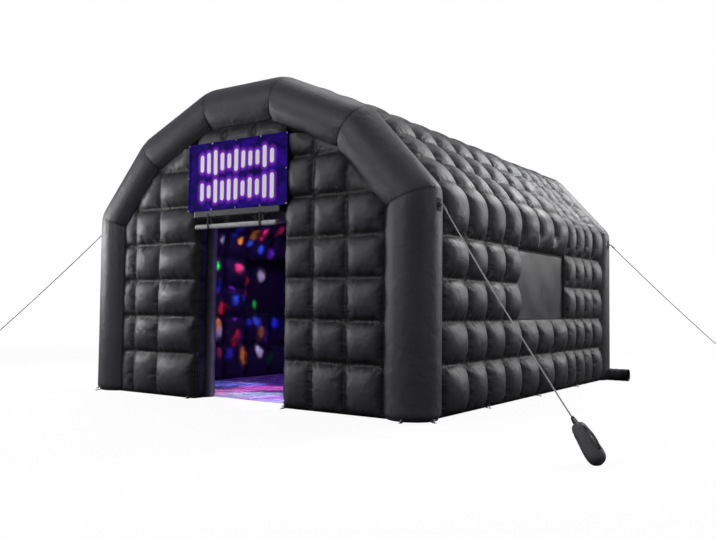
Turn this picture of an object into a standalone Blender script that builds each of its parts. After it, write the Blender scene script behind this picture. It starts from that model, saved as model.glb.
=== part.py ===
"""Inflatable party tent: two air-filled arches with quilted walls and roof between them.

Metres, +Z up, the doorway facing -Y. The origin is on the ground, at the middle of the plan.
"""
import math

import bmesh
import bpy
from mathutils import Matrix, Vector

# Driving dimensions
WIDTH = 5.0
LENGTH = 6.2
TUBE_RADIUS = 0.28
EAVE_HEIGHT = 2.20
SHOULDER_HALF = 1.51
SHOULDER_HEIGHT = 2.99
CROWN_HALF = 0.51
CROWN_HEIGHT = 3.43

# Quilting: a core of even thickness, with a pad raised on each cell of both faces
CORE = 0.33
PAD_HEIGHT = 0.075
PAD_FLANK = 0.09
PAD_NARROW = 0.5
SHELL_OUTSET = 0.19
FRONT_INSET = 0.12
FIRST_ROW = 0.522
ROW_PITCH = 0.444
COLUMNS_AHEAD = 4
COLUMNS_ACROSS = 3
COLUMNS_BEHIND = 4
ROOF_ROWS = 3

DOOR_WIDTH = 1.36
DOOR_HEIGHT = 2.10
DOOR_COLUMNS = 3
FRONT_SEAMS = {"left": (1.32, 1.75), "right": (1.08, 1.52)}
REAR_COLUMNS = 3
WINDOW_FRONT = -0.60
WINDOW_REAR = 1.04
WINDOW_SILL = 0.966
WINDOW_HEAD = 1.854
PANE_THICKNESS = 0.010
PANE_RECESS = 0.02
FLOOR_THICKNESS = 0.003

SIGN_WIDTH = 1.53
SIGN_HEIGHT = 0.80
SIGN_BOTTOM = 2.22
SIGN_THICKNESS = 0.012
CURTAIN_RADIUS = 0.030
CURTAIN_LENGTH = 1.24
CURTAIN_HEIGHT = 2.03
FLAP_WIDTH = 1.32
FLAP_HEIGHT = 0.075
FLAP_THICKNESS = 0.010
TIE_WIDTH = 0.03
TIE_THICKNESS = 0.004
TIE_X = 0.40

SLEEVE_RADIUS = 0.095
SLEEVE_LENGTH = 0.31
ANCHOR_HEIGHT = 2.13
ANCHOR_WIDTH = 0.09
ANCHOR_LENGTH = 0.13
ANCHOR_THICKNESS = 0.008
RING_DEPTH = 0.035
TAB_WIDTH = 0.04
TAB_LENGTH = 0.024
ROPE_DIAMETER = 0.012
ROPE_SAG = 0.03
ROPE_POINTS = 13
ROPE_CLEARANCE = 0.0006
BAG_OUT = 1.97
BAG_AHEAD = 0.92
BAG_LENGTH = 0.36
BAG_RADIUS = 0.075
BAG_NECK = 0.3

GAP = 0.0003
TUBE_SIDES = 16
LEG_X = WIDTH / 2 - TUBE_RADIUS
ARCH_Y = LENGTH / 2 - TUBE_RADIUS
SHELL_END = LENGTH / 2 - 2 * TUBE_RADIUS - GAP
Y_AXIS = Vector((0, 1, 0))
Z_AXIS = Vector((0, 0, 1))
SIDES = (("left", -1), ("right", 1))
ENDS = (("front", -1), ("rear", 1))


def srgb(hex_code):
    """Linear colour of a #rrggbb value."""
    channels = [int(hex_code[i:i + 2], 16) / 255 for i in (1, 3, 5)]
    return [c / 12.92 if c <= 0.04045 else ((c + 0.055) / 1.055) ** 2.4 for c in channels]


def make_material(name, hex_code, roughness, metallic=0.0):
    """A Principled BSDF material."""
    material = bpy.data.materials.new(name)
    material.use_nodes = True
    shader = material.node_tree.nodes["Principled BSDF"]
    shader.inputs["Base Color"].default_value = (*srgb(hex_code), 1.0)
    shader.inputs["Roughness"].default_value = roughness
    shader.inputs["Metallic"].default_value = metallic
    return material


def add_object(name, data, material):
    """Link one named object that carries its own material."""
    item = bpy.data.objects.new(name, data)
    data.materials.append(material.copy())
    bpy.context.scene.collection.objects.link(item)
    return item


def finish_mesh(name, bm, material, smooth=False):
    """Turn a bmesh into a named object with its faces pointing out."""
    bmesh.ops.recalc_face_normals(bm, faces=bm.faces[:])
    mesh = bpy.data.meshes.new(name)
    bm.to_mesh(mesh)
    bm.free()
    if smooth:
        mesh.shade_smooth()
        mesh.set_sharp_from_angle(angle=math.radians(40))
    return add_object(name, mesh, material)


def box(name, low, high, material):
    """A plain box between two corners."""
    bm = bmesh.new()
    size = Vector(high) - Vector(low)
    middle = (Vector(high) + Vector(low)) / 2
    place = Matrix.Translation(middle) @ Matrix.Diagonal((*size, 1))
    bmesh.ops.create_cube(bm, size=1, matrix=place)
    return finish_mesh(name, bm, material)


def arch_centreline():
    """The arch's bends from the left foot to the right foot, as (x, z)."""
    right = [(CROWN_HALF, CROWN_HEIGHT), (SHOULDER_HALF, SHOULDER_HEIGHT),
             (LEG_X, EAVE_HEIGHT), (LEG_X, 0.0)]
    left = [(-x, z) for x, z in reversed(right)]
    return [Vector(point) for point in left + right]


def outward(direction):
    """The normal on the outer side of a run along the arch, in x and z."""
    return Vector((-direction.y, direction.x))


def mitres(path):
    """For each bend, the direction that its joint plane faces."""
    runs = [(b - a).normalized() for a, b in zip(path, path[1:])]
    joints = [runs[0]]
    joints += [(a + b).normalized() for a, b in zip(runs, runs[1:])]
    return runs, joints + [runs[-1]]


def offset_path(path, distance):
    """The same path moved outward by a distance, with mitred corners."""
    runs, joints = mitres(path)
    moved = []
    for index, point in enumerate(path):
        run = runs[min(index, len(runs) - 1)]
        normal = outward(joints[index])
        moved.append(point + normal * distance / normal.dot(outward(run)))
    return moved


def lift(point, y):
    """An (x, z) point of the arch's plane, set at y."""
    return Vector((point.x, y, point.y))


def tube_ring(bm, centre, along, joint, shift):
    """One ring of a tube, cut by the joint plane and moved along by shift."""
    across = lift(outward(along), 0)
    forward = lift(along, 0)
    plane = lift(joint, 0)
    ring = []
    for step in range(TUBE_SIDES):
        angle = math.tau * step / TUBE_SIDES
        radial = TUBE_RADIUS * (math.cos(angle) * across + math.sin(angle) * Y_AXIS)
        slide = shift - radial.dot(plane) / forward.dot(plane)
        ring.append(bm.verts.new(centre + radial + forward * slide))
    return ring


def close_tube(bm, rings):
    """Join successive rings with quads and cap both ends."""
    for low, high in zip(rings, rings[1:]):
        for step in range(len(low)):
            after = (step + 1) % len(low)
            bm.faces.new((low[step], low[after], high[after], high[step]))
    bm.faces.new(rings[0])
    bm.faces.new(rings[-1])


def build_arch(end, y, material):
    """The seven chambers of one arch, from the left leg to the right leg."""
    names = ("left_leg", "left_lower_slope", "left_upper_slope", "crown",
             "right_upper_slope", "right_lower_slope", "right_leg")
    path = arch_centreline()
    runs, joints = mitres(path)
    for index, name in enumerate(names):
        bm = bmesh.new()
        start_shift = 0.0 if index == 0 else GAP / 2
        end_shift = 0.0 if index == len(names) - 1 else -GAP / 2
        rings = [tube_ring(bm, lift(path[index], y), runs[index], joints[index], start_shift),
                 tube_ring(bm, lift(path[index + 1], y), runs[index], joints[index + 1],
                           end_shift)]
        close_tube(bm, rings)
        finish_mesh(f"{end}_arch_{name}", bm, material, smooth=True)


def cut_sheet(corners, cuts):
    """A flat face with its cells cut along (point, normal) planes."""
    bm = bmesh.new()
    bm.faces.new([bm.verts.new(corner) for corner in corners])
    for point, normal in cuts:
        bmesh.ops.bisect_plane(bm, geom=bm.verts[:] + bm.edges[:] + bm.faces[:],
                               dist=1e-5, plane_co=point, plane_no=normal)
    return bm


def edge_distance(point, edge):
    """How far a point lies from the line of an edge."""
    start, end = (vert.co for vert in edge.verts)
    along = (end - start).normalized()
    offset = point - start
    return (offset - along * offset.dot(along)).length


def raise_pads(bm, cells):
    """Raise each cell as a pad, lower where the cell is narrow."""
    for pad in bmesh.ops.extrude_discrete_faces(bm, faces=cells)["faces"]:
        centre = pad.calc_center_median_weighted()
        normal = pad.normal.copy()
        reach = min(edge_distance(centre, edge) for edge in pad.edges)
        flank = min(PAD_FLANK, PAD_NARROW * reach)
        for vert in pad.verts:
            vert.co = centre + (vert.co - centre) * (1 - flank / reach)
            vert.co += normal * PAD_HEIGHT * flank / PAD_FLANK


def quilted_slab(name, corners, facing, cuts, material, eave=None):
    """A slab whose outer face has the given corners, with pads on both faces.

    facing is the outer face's normal, and cuts are the seams between its pads.
    eave holds the top's height on the outer and the inner face, where it is mitred.
    """
    bm = cut_sheet(corners, cuts)
    bm.normal_update()
    if bm.faces[:][0].normal.dot(facing) < 0:
        bmesh.ops.reverse_faces(bm, faces=bm.faces[:])
    outer = bm.faces[:]
    rim = [edge for edge in bm.edges if edge.is_boundary]
    copy = bmesh.ops.duplicate(bm, geom=bm.verts[:] + bm.edges[:] + bm.faces[:])
    twin = copy["vert_map"]
    inner = [item for item in copy["geom"] if isinstance(item, bmesh.types.BMFace)]
    inner_verts = [item for item in copy["geom"] if isinstance(item, bmesh.types.BMVert)]
    bmesh.ops.translate(bm, verts=inner_verts, vec=-CORE * facing)
    if eave:
        outer_top, inner_top = eave
        for vert in inner_verts:
            if abs(vert.co.z - outer_top) < GAP:
                vert.co.z = inner_top
    bmesh.ops.reverse_faces(bm, faces=inner)
    for edge in rim:
        first, last = edge.verts
        bm.faces.new((first, last, twin[last], twin[first]))
    bm.normal_update()
    raise_pads(bm, outer + inner)
    return finish_mesh(name, bm, material)


def row_cuts(low, high, normal=(0, 0, 1)):
    """Level seams between two heights."""
    count = math.ceil((high - FIRST_ROW) / ROW_PITCH)
    rows = [FIRST_ROW + ROW_PITCH * index for index in range(count)]
    return [((0, 0, row), normal) for row in rows if low + PAD_FLANK < row < high - PAD_FLANK]


def even_cuts(start, end, parts, axis):
    """Seams that divide a stretch of one axis evenly."""
    normal = Vector([float(axis == index) for index in range(3)])
    return [(normal * (start + (end - start) * index / parts), normal)
            for index in range(1, parts)]


def clip_outline(outline, low_x, high_x):
    """The part of a convex (x, z) outline between two upright lines."""
    bm = bmesh.new()
    bm.faces.new([bm.verts.new((point.x, 0, point.y)) for point in outline])
    for x, side in ((low_x, -1), (high_x, 1)):
        bmesh.ops.bisect_plane(bm, geom=bm.verts[:] + bm.edges[:] + bm.faces[:], dist=1e-6,
                               plane_co=(x, 0, 0), plane_no=(side, 0, 0), clear_outer=True)
    face = bm.faces[:][0]
    points = [Vector((vert.co.x, vert.co.z)) for vert in face.verts]
    bm.free()
    return points


def end_wall_outline():
    """The opening of an arch, just inside its tube."""
    return offset_path(arch_centreline(), -TUBE_RADIUS - GAP)


def build_front_wall(material):
    """Padded panels beside and over the doorway."""
    face_y = -LENGTH / 2 + FRONT_INSET
    facing = -Y_AXIS
    outline = end_wall_outline()
    edge = LEG_X - TUBE_RADIUS
    door = DOOR_WIDTH / 2
    for side, sign in SIDES:
        low, high = sorted((sign * (door + GAP), sign * edge))
        corners = [lift(p, face_y) for p in clip_outline(outline, low - GAP * (sign < 0),
                                                         high + GAP * (sign > 0))]
        cuts = row_cuts(0, SHOULDER_HEIGHT)
        cuts += [((sign * x, 0, 0), (1, 0, 0)) for x in FRONT_SEAMS[side]]
        quilted_slab(f"front_wall_{side}", corners, facing, cuts, material)
    over = [p if p.y > DOOR_HEIGHT else Vector((p.x, DOOR_HEIGHT))
            for p in clip_outline(outline, -door, door)]
    cuts = row_cuts(DOOR_HEIGHT, CROWN_HEIGHT) + even_cuts(-door, door, DOOR_COLUMNS, 0)
    quilted_slab("front_wall_over_door", [lift(p, face_y) for p in over], facing, cuts,
                 material)


def build_rear_wall(material):
    """One closed padded wall inside the rear arch."""
    face_y = LENGTH / 2 - FRONT_INSET
    edge = LEG_X - TUBE_RADIUS
    door = DOOR_WIDTH / 2
    cuts = row_cuts(0, CROWN_HEIGHT) + even_cuts(-door, door, DOOR_COLUMNS, 0)
    for sign in (-1, 1):
        cuts += even_cuts(sign * door, sign * edge, REAR_COLUMNS, 0)
        cuts += [((sign * door, 0, 0), (1, 0, 0))]
    corners = [lift(p, face_y) for p in end_wall_outline()]
    quilted_slab("rear_wall", corners, Y_AXIS, cuts, material)


def column_places():
    """Where the columns of the side walls and the roof begin and end, along Y."""
    stops = (-SHELL_END, WINDOW_FRONT, WINDOW_REAR, SHELL_END)
    places = [-SHELL_END]
    for start, end, parts in zip(stops, stops[1:], (COLUMNS_AHEAD, COLUMNS_ACROSS,
                                                    COLUMNS_BEHIND)):
        places += [start + (end - start) * step / parts for step in range(1, parts + 1)]
    return places


def side_panel(name, sign, y_range, z_range, material, eave=None):
    """One upright padded panel of a side wall."""
    x = sign * (LEG_X + SHELL_OUTSET)
    (low_y, high_y), (low_z, high_z) = y_range, z_range
    corners = [(x, low_y, low_z), (x, high_y, low_z), (x, high_y, high_z), (x, low_y, high_z)]
    seams = [(Y_AXIS * y, Y_AXIS) for y in column_places()
             if low_y + PAD_FLANK < y < high_y - PAD_FLANK]
    quilted_slab(name, corners, Vector((sign, 0, 0)), seams + row_cuts(low_z, high_z),
                 material, eave)


def build_side_wall(side, sign, material, pane_material):
    """A side wall round its window, and the window's clear sheet."""
    eave = [offset_path(arch_centreline(), distance)[1].y - GAP
            for distance in (SHELL_OUTSET, SHELL_OUTSET - CORE)]
    full = (0.0, eave[0])
    side_panel(f"{side}_wall_front", sign, (-SHELL_END, WINDOW_FRONT - GAP), full, material, eave)
    side_panel(f"{side}_wall_rear", sign, (WINDOW_REAR + GAP, SHELL_END), full, material, eave)
    window = (WINDOW_FRONT, WINDOW_REAR)
    side_panel(f"{side}_wall_sill", sign, window, (0.0, WINDOW_SILL), material)
    side_panel(f"{side}_wall_head", sign, window, (WINDOW_HEAD, eave[0]), material, eave)
    outer = sign * (LEG_X + SHELL_OUTSET - PANE_RECESS)
    inner = outer - sign * PANE_THICKNESS
    low = (min(outer, inner), WINDOW_FRONT + GAP, WINDOW_SILL + GAP)
    high = (max(outer, inner), WINDOW_REAR - GAP, WINDOW_HEAD - GAP)
    box(f"{side}_window_pane", low, high, pane_material)


def build_roof(material):
    """Five padded slabs from eave to eave, mitred where the roof bends."""
    names = ("left_lower", "left_upper", "ridge", "right_upper", "right_lower")
    path = arch_centreline()
    runs, _ = mitres(path)
    outer = offset_path(path, SHELL_OUTSET)
    inner = offset_path(path, SHELL_OUTSET - CORE)
    for index, name in enumerate(names, start=1):
        roof_slab(f"roof_{name}", runs[index], (outer[index], outer[index + 1]),
                  (inner[index], inner[index + 1]), material)


def roof_slab(name, run, outer, inner, material):
    """One mitred slab of the roof, with its pads in rows along the slope."""
    facing = lift(outward(run), 0)
    along = lift(run, 0)
    bm = bmesh.new()
    faces = []
    for pair, turned in ((outer, False), (inner, True)):
        start = lift(pair[0], 0) + along * GAP
        end = lift(pair[1], 0) - along * GAP
        faces.append(roof_face(bm, start, end, turned))
    (outer_cells, outer_rim), (inner_cells, inner_rim) = faces
    for index in range(len(outer_rim)):
        after = (index + 1) % len(outer_rim)
        bm.faces.new((outer_rim[index], outer_rim[after], inner_rim[after],
                      inner_rim[index]))
    bm.normal_update()
    for cells, wanted in ((outer_cells, facing), (inner_cells, -facing)):
        if cells[0].normal.dot(wanted) < 0:
            bmesh.ops.reverse_faces(bm, faces=cells)
    raise_pads(bm, outer_cells + inner_cells)
    return finish_mesh(name, bm, material)


def roof_face(bm, start, end, turned):
    """A grid of cells between two eave lines, and the loop round its rim."""
    grid = []
    for row in range(ROOF_ROWS + 1):
        point = start.lerp(end, row / ROOF_ROWS)
        grid.append([bm.verts.new((point.x, y, point.z)) for y in column_places()])
    cells = []
    for row in range(ROOF_ROWS):
        for column in range(len(grid[0]) - 1):
            loop = [grid[row][column], grid[row][column + 1],
                    grid[row + 1][column + 1], grid[row + 1][column]]
            cells.append(bm.faces.new(loop[::-1] if turned else loop))
    rim = grid[0][:-1] + [line[-1] for line in grid[:-1]]
    rim += grid[-1][:0:-1] + [line[0] for line in grid[:0:-1]]
    return cells, rim


def build_entrance(fabric, print_material, curtain, webbing):
    """The sign, the flap under it, and the curtain rolled up and tied to the flap."""
    crest = -LENGTH / 2 + FRONT_INSET - PAD_HEIGHT - GAP
    half = SIGN_WIDTH / 2
    box("sign_banner", (-half, crest - SIGN_THICKNESS, SIGN_BOTTOM),
        (half, crest, SIGN_BOTTOM + SIGN_HEIGHT), print_material)
    half = FLAP_WIDTH / 2
    top = SIGN_BOTTOM - GAP
    box("curtain_flap", (-half, crest - FLAP_THICKNESS, top - FLAP_HEIGHT),
        (half, crest, top), fabric)
    hang_y = crest - FLAP_THICKNESS / 2
    for side, sign in SIDES:
        low = (sign * TIE_X - TIE_WIDTH / 2, hang_y - TIE_THICKNESS / 2,
               CURTAIN_HEIGHT + CURTAIN_RADIUS + GAP)
        high = (sign * TIE_X + TIE_WIDTH / 2, hang_y + TIE_THICKNESS / 2,
                top - FLAP_HEIGHT - GAP)
        box(f"curtain_{side}_tie", low, high, webbing)
    bm = bmesh.new()
    turn = Matrix.Rotation(math.radians(90), 4, "Y")
    place = Matrix.Translation((0, hang_y, CURTAIN_HEIGHT)) @ turn
    bmesh.ops.create_cone(bm, cap_ends=True, segments=12, radius1=CURTAIN_RADIUS,
                          radius2=CURTAIN_RADIUS, depth=CURTAIN_LENGTH, matrix=place)
    finish_mesh("rolled_curtain", bm, curtain, smooth=True)


def build_floor(material):
    """The groundsheet, up to the feet of the walls."""
    slope = FLOOR_THICKNESS * PAD_HEIGHT / PAD_FLANK
    half_x = LEG_X + SHELL_OUTSET - CORE - slope - GAP
    half_y = LENGTH / 2 - FRONT_INSET - CORE - slope - GAP
    inner_x = LEG_X - TUBE_RADIUS
    box("floor_sheet", (-inner_x, -half_y, 0), (inner_x, half_y, FLOOR_THICKNESS), material)


def build_sleeve(material):
    """The air inlet sleeve on the ground at the rear right foot."""
    bm = bmesh.new()
    turn = Matrix.Rotation(math.radians(90), 4, "Y")
    middle = (WIDTH / 2 + GAP + SLEEVE_LENGTH / 2, ARCH_Y, SLEEVE_RADIUS)
    bmesh.ops.create_cone(bm, cap_ends=True, segments=20, radius1=SLEEVE_RADIUS,
                          radius2=SLEEVE_RADIUS, depth=SLEEVE_LENGTH,
                          matrix=Matrix.Translation(middle) @ turn)
    finish_mesh("inlet_sleeve", bm, material, smooth=True)


def rope_places(sign_x, sign_y):
    """A guy rope's ring, its bag's foot and the direction up the bag."""
    ring = Vector((sign_x * (WIDTH / 2 + GAP + ANCHOR_THICKNESS + RING_DEPTH),
                   sign_y * ARCH_Y, ANCHOR_HEIGHT))
    foot = Vector((sign_x * (WIDTH / 2 + BAG_OUT), sign_y * (LENGTH / 2 + BAG_AHEAD), 0))
    return ring, foot, (ring - foot).normalized()


def build_anchor(name, sign_x, sign_y, material):
    """A webbing patch on the leg with a ring tab that the rope is tied to."""
    ring, _, axis = rope_places(sign_x, sign_y)
    root_x = sign_x * (WIDTH / 2 + GAP)
    face_x = root_x + sign_x * ANCHOR_THICKNESS
    tab_y = (Y_AXIS - axis * axis.y).normalized()
    tab_z = tab_y.cross(axis) * sign_x
    tip = ring + axis * ROPE_CLEARANCE
    bm = bmesh.new()
    rings = []
    for centre, reach_y, reach_z in (
            (Vector((root_x, ring.y, ring.z)), Y_AXIS * ANCHOR_WIDTH, Z_AXIS * ANCHOR_LENGTH),
            (Vector((face_x, ring.y, ring.z)), Y_AXIS * ANCHOR_WIDTH, Z_AXIS * ANCHOR_LENGTH),
            (tip, tab_y * TAB_WIDTH, tab_z * TAB_LENGTH)):
        rings.append([bm.verts.new(centre + (j * reach_y + k * reach_z) / 2)
                      for j, k in ((-1, -1), (1, -1), (1, 1), (-1, 1))])
    close_tube(bm, rings)
    finish_mesh(name, bm, material)


def bag_profile(part):
    """The pouch's radius at a fraction of its length, from its foot to its neck."""
    body = math.sqrt(max(0.0, 1 - abs(2 * part - 1) ** 6))
    return BAG_RADIUS * max(BAG_NECK, body)


def build_bag(name, sign_x, sign_y, material):
    """A sand-filled bag that stands on its foot and leans along its rope."""
    _, foot, axis = rope_places(sign_x, sign_y)
    across = axis.cross(Vector((0, 0, 1))).normalized()
    up = across.cross(axis).normalized()
    steps, sides = 8, 12
    start = foot + axis * 0.03
    bm = bmesh.new()
    rings = []
    for step in range(steps + 1):
        part = step / steps
        radius = bag_profile(part)
        centre = start + axis * (BAG_LENGTH * part)
        rings.append([bm.verts.new(centre + radius * (math.cos(math.tau * k / sides) * across
                                                      + math.sin(math.tau * k / sides) * up))
                      for k in range(sides)])
    close_tube(bm, rings)
    cut = bmesh.ops.bisect_plane(bm, geom=bm.verts[:] + bm.edges[:] + bm.faces[:], dist=1e-5,
                                 plane_co=(0, 0, 0), plane_no=(0, 0, -1), clear_outer=True)
    edges = [item for item in cut["geom_cut"] if isinstance(item, bmesh.types.BMEdge)]
    if edges:
        bmesh.ops.contextual_create(bm, geom=edges)
    finish_mesh(name, bm, material, smooth=True)


def build_rope(name, sign_x, sign_y, material):
    """A guy rope from the ring on the leg to the neck of its bag."""
    ring, foot, axis = rope_places(sign_x, sign_y)
    start = ring
    end = foot + axis * (0.03 + BAG_LENGTH + ROPE_CLEARANCE)
    curve = bpy.data.curves.new(name, "CURVE")
    curve.dimensions = "3D"
    curve.bevel_depth = ROPE_DIAMETER / 2
    curve.bevel_resolution = 2
    curve.use_fill_caps = True
    spline = curve.splines.new("POLY")
    spline.points.add(ROPE_POINTS - 1)
    for index, point in enumerate(spline.points):
        part = index / (ROPE_POINTS - 1)
        place = start.lerp(end, part)
        place.z -= 4 * ROPE_SAG * part * (1 - part)
        point.co = (*place, 1)
    add_object(name, curve, material)


def build_guys(webbing, rope, canvas):
    """The rope, ring patch and weight bag at each of the four corners."""
    for end, sign_y in ENDS:
        for side, sign_x in SIDES:
            build_anchor(f"{end}_{side}_ring_patch", sign_x, sign_y, webbing)
            build_rope(f"{end}_{side}_guy_rope", sign_x, sign_y, rope)
            build_bag(f"{end}_{side}_weight_bag", sign_x, sign_y, canvas)


def main():
    for item in list(bpy.data.objects):
        bpy.data.objects.remove(item, do_unlink=True)
    oxford = make_material("black coated oxford", "#2b2b2e", 0.45)
    clear_sheet = make_material("tinted window sheet", "#55535a", 0.25)
    banner = make_material("printed banner", "#2a1470", 0.5)
    curtain = make_material("grey rolled curtain", "#77777a", 0.5)
    groundsheet = make_material("pale groundsheet", "#b9b4c4", 0.2)
    webbing = make_material("black webbing", "#1c1c1e", 0.8)
    rope = make_material("grey braided rope", "#5c5c60", 0.8)
    canvas = make_material("black canvas", "#26262a", 0.7)
    for end, sign in ENDS:
        build_arch(end, sign * ARCH_Y, oxford)
    build_front_wall(oxford)
    build_rear_wall(oxford)
    for side, sign in SIDES:
        build_side_wall(side, sign, oxford, clear_sheet)
    build_roof(oxford)
    build_entrance(oxford, banner, curtain, webbing)
    build_floor(groundsheet)
    build_sleeve(oxford)
    build_guys(webbing, rope, canvas)


main()
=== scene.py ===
"""Looks of the inflatable party tent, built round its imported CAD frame.

Metres, +Z up, the doorway facing -Y. Skins are sewn flat as grids, blown up as cloth, and laid where the
solids are.
"""
import math

import bmesh
import bpy
import numpy as np
from bpy.props import (FloatProperty, FloatVectorProperty, IntProperty, PointerProperty)
from mathutils import Matrix, Vector


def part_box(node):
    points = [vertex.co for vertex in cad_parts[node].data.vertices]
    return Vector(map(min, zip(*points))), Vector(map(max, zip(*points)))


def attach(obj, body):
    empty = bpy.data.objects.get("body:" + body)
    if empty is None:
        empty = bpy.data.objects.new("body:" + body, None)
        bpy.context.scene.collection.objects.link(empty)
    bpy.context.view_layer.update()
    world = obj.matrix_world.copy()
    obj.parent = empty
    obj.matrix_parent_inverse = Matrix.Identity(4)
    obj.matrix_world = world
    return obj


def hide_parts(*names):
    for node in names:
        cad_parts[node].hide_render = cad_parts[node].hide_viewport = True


bl_info = {
    "name": "Inflatable Party Tent",
    "version": (1, 0, 0),
    "blender": (4, 5, 0),
    "location": "View3D > Sidebar > Tent",
    "description": "Dresses the frame of an inflatable party tent",
    "category": "Object",
}

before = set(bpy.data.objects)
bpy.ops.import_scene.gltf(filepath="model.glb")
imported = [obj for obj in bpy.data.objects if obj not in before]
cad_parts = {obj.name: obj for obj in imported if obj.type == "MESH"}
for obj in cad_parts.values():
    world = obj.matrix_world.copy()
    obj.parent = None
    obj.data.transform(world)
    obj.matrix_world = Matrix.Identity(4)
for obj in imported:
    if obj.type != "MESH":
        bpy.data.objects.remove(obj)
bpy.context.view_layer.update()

SIDES = (("left", -1), ("right", 1))
ENDS = (("front", -1), ("rear", 1))
UP = Vector((0, 0, 1))
# A skin runs on this far into the tube that it meets.
TUCK = 0.03
# A point this near to a line lies on it, and one this near to a tube is held by it.
NEAR, GRIP = 1e-6, 1e-4


def linear(code):
    """Linear colour of a #rrggbb value."""
    channels = [int(code[i:i + 2], 16) / 255 for i in (1, 3, 5)]
    return tuple(c / 12.92 if c <= 0.04045 else ((c + 0.055) / 1.055) ** 2.4 for c in channels)


def metres(name, description, default, low=0.0):
    """A length that a user can change."""
    return FloatProperty(name=name, description=description, default=default, min=low, unit="LENGTH")


def count(name, description, default):
    """A number of rows or columns that a user can change."""
    return IntProperty(name=name, description=description, default=default, min=1)


def colour(name, description, code):
    """A colour that a user can change."""
    return FloatVectorProperty(name=name, description=description, default=linear(code), size=3,
                               min=0.0, max=1.0, subtype="COLOR")


class TentShape(bpy.types.PropertyGroup):
    """Arches and the shell between them."""
    width: metres("Width", "Over the arch legs", 5.0)
    length: metres("Length", "Over both arches", 6.2)
    tube_radius: metres("Tube radius", "Radius of the air-filled arches", 0.28)
    eave_height: metres("Eave height", "Height of the first bend's centre", 2.20)
    shoulder_half: metres("Shoulder half width", "Middle bend from the centre", 1.51)
    shoulder_height: metres("Shoulder height", "Height of the middle bend's centre", 2.99)
    crown_half: metres("Crown half width", "Top bend from the centre", 0.51)
    crown_height: metres("Crown height", "Height of the top bend's centre", 3.43)
    core: metres("Wall core", "Wall thickness between its seams", 0.33)
    outset: metres("Shell outset", "Seams of the sides and roof outside the arch's centreline", 0.19)
    inset: metres("End wall inset", "Seams of the end walls behind the arch's face", 0.12)


class TentQuilt(bpy.types.PropertyGroup):
    """Rows, columns and fullness of the pads."""
    first_row: metres("First row", "Height of the lowest row of pads", 0.522)
    row_pitch: metres("Row pitch", "Height of the other rows", 0.444)
    columns_ahead: count("Columns ahead", "Side columns before the window", 4)
    columns_across: count("Columns across", "Side columns over the window", 3)
    columns_behind: count("Columns behind", "Side columns after the window", 4)
    roof_start: metres("Roof start", "First roof seam, measured up the wall and round the eave", 2.42)
    roof_rows: count("Roof rows", "Rows of pads over the roof", 15)
    puff: metres("Puff", "How far a full pad stands off its seams", 0.094)
    roof_puff: metres("Roof puff", "How far a full roof pad stands off its seams", 0.102)
    column_lift: metres("Column lift", "How far the middle of a wall's upright seam rises", 0.020)
    row_lift: metres("Row lift", "How far the middle of a roof's level seam rises", 0.078)
    eave_lift: metres("Eave lift", "How far the cloth rises where wall and roof are joined", 0.086)
    step: metres("Cloth step", "Spacing of the threads that are simulated", 0.030)


class TentEntrance(bpy.types.PropertyGroup):
    """Doorway, sign, flap and rolled curtain."""
    left_inner: metres("Left inner seam", "Upright seam left of the doorway, from the middle", 1.32)
    left_outer: metres("Left outer seam", "Upright seam left of the doorway, from the middle", 1.75)
    right_inner: metres("Right inner seam", "Upright seam right of the doorway, from the middle", 1.08)
    right_outer: metres("Right outer seam", "Upright seam right of the doorway, from the middle", 1.52)
    door_width: metres("Door width", "Between the jambs", 1.36)
    door_height: metres("Door height", "From the ground to the head", 2.10)
    sign_width: metres("Sign width", "Printed banner", 1.53)
    sign_height: metres("Sign height", "Printed banner", 0.80)
    sign_bottom: metres("Sign bottom", "Above the ground", 2.22)
    flap_width: metres("Flap width", "Flap that covers the curtain's top", 1.32)
    flap_height: metres("Flap height", "Flap that covers the curtain's top", 0.075)
    curtain_radius: metres("Curtain roll", "Radius of the rolled curtain", 0.030)
    curtain_length: metres("Curtain width", "Length of the roll", 1.24)
    tie_place: metres("Tie place", "Straps round the curtain, from the middle", 0.40)
    hem: metres("Hem", "Hem of the banner and the flap", 0.022)
    jamb_ease: metres("Jamb ease", "How far the corner of the doorway is rounded", 0.03)


class TentWindow(bpy.types.PropertyGroup):
    """Window in each side wall."""
    front: metres("Window front", "Front edge along the side wall", -0.60, -3.0)
    rear: metres("Window rear", "Rear edge along the side wall", 1.04, -3.0)
    sill: metres("Sill height", "Above the ground", 0.966)
    head: metres("Head height", "Above the ground", 1.854)
    header: metres("Header", "Height of the plain roll over the window", 0.25)
    recess: metres("Recess", "Sheet behind the wall's seams", 0.025)
    binding: metres("Binding", "Webbing sewn round the sheet", 0.036)


class TentRigging(bpy.types.PropertyGroup):
    """Ropes, weight bags and the air inlet."""
    anchor_height: metres("Anchor height", "Ring patch on the leg", 2.13)
    anchor_width: metres("Patch width", "Ring patch on the leg", 0.09)
    anchor_length: metres("Patch length", "Ring patch on the leg", 0.13)
    anchor_thickness: metres("Patch thickness", "Ring patch on the leg", 0.008)
    ring_depth: metres("Ring depth", "Ring beyond the patch", 0.035)
    rope_diameter: metres("Rope diameter", "Braided guy rope", 0.012)
    rope_sag: metres("Rope sag", "At the middle of a rope", 0.03)
    bag_out: metres("Bag out", "Bag foot beyond the tent's side", 1.97)
    bag_ahead: metres("Bag ahead", "Bag foot beyond the tent's end", 0.92)
    bag_length: metres("Bag length", "From foot to neck", 0.36)
    bag_radius: metres("Bag radius", "At the bag's belly", 0.075)
    strap_width: metres("Strap width", "Webbing straps and loops", 0.035)
    sleeve_radius: metres("Sleeve radius", "Air inlet sleeve", 0.095)
    sleeve_length: metres("Sleeve length", "Air inlet sleeve", 0.31)


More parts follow.
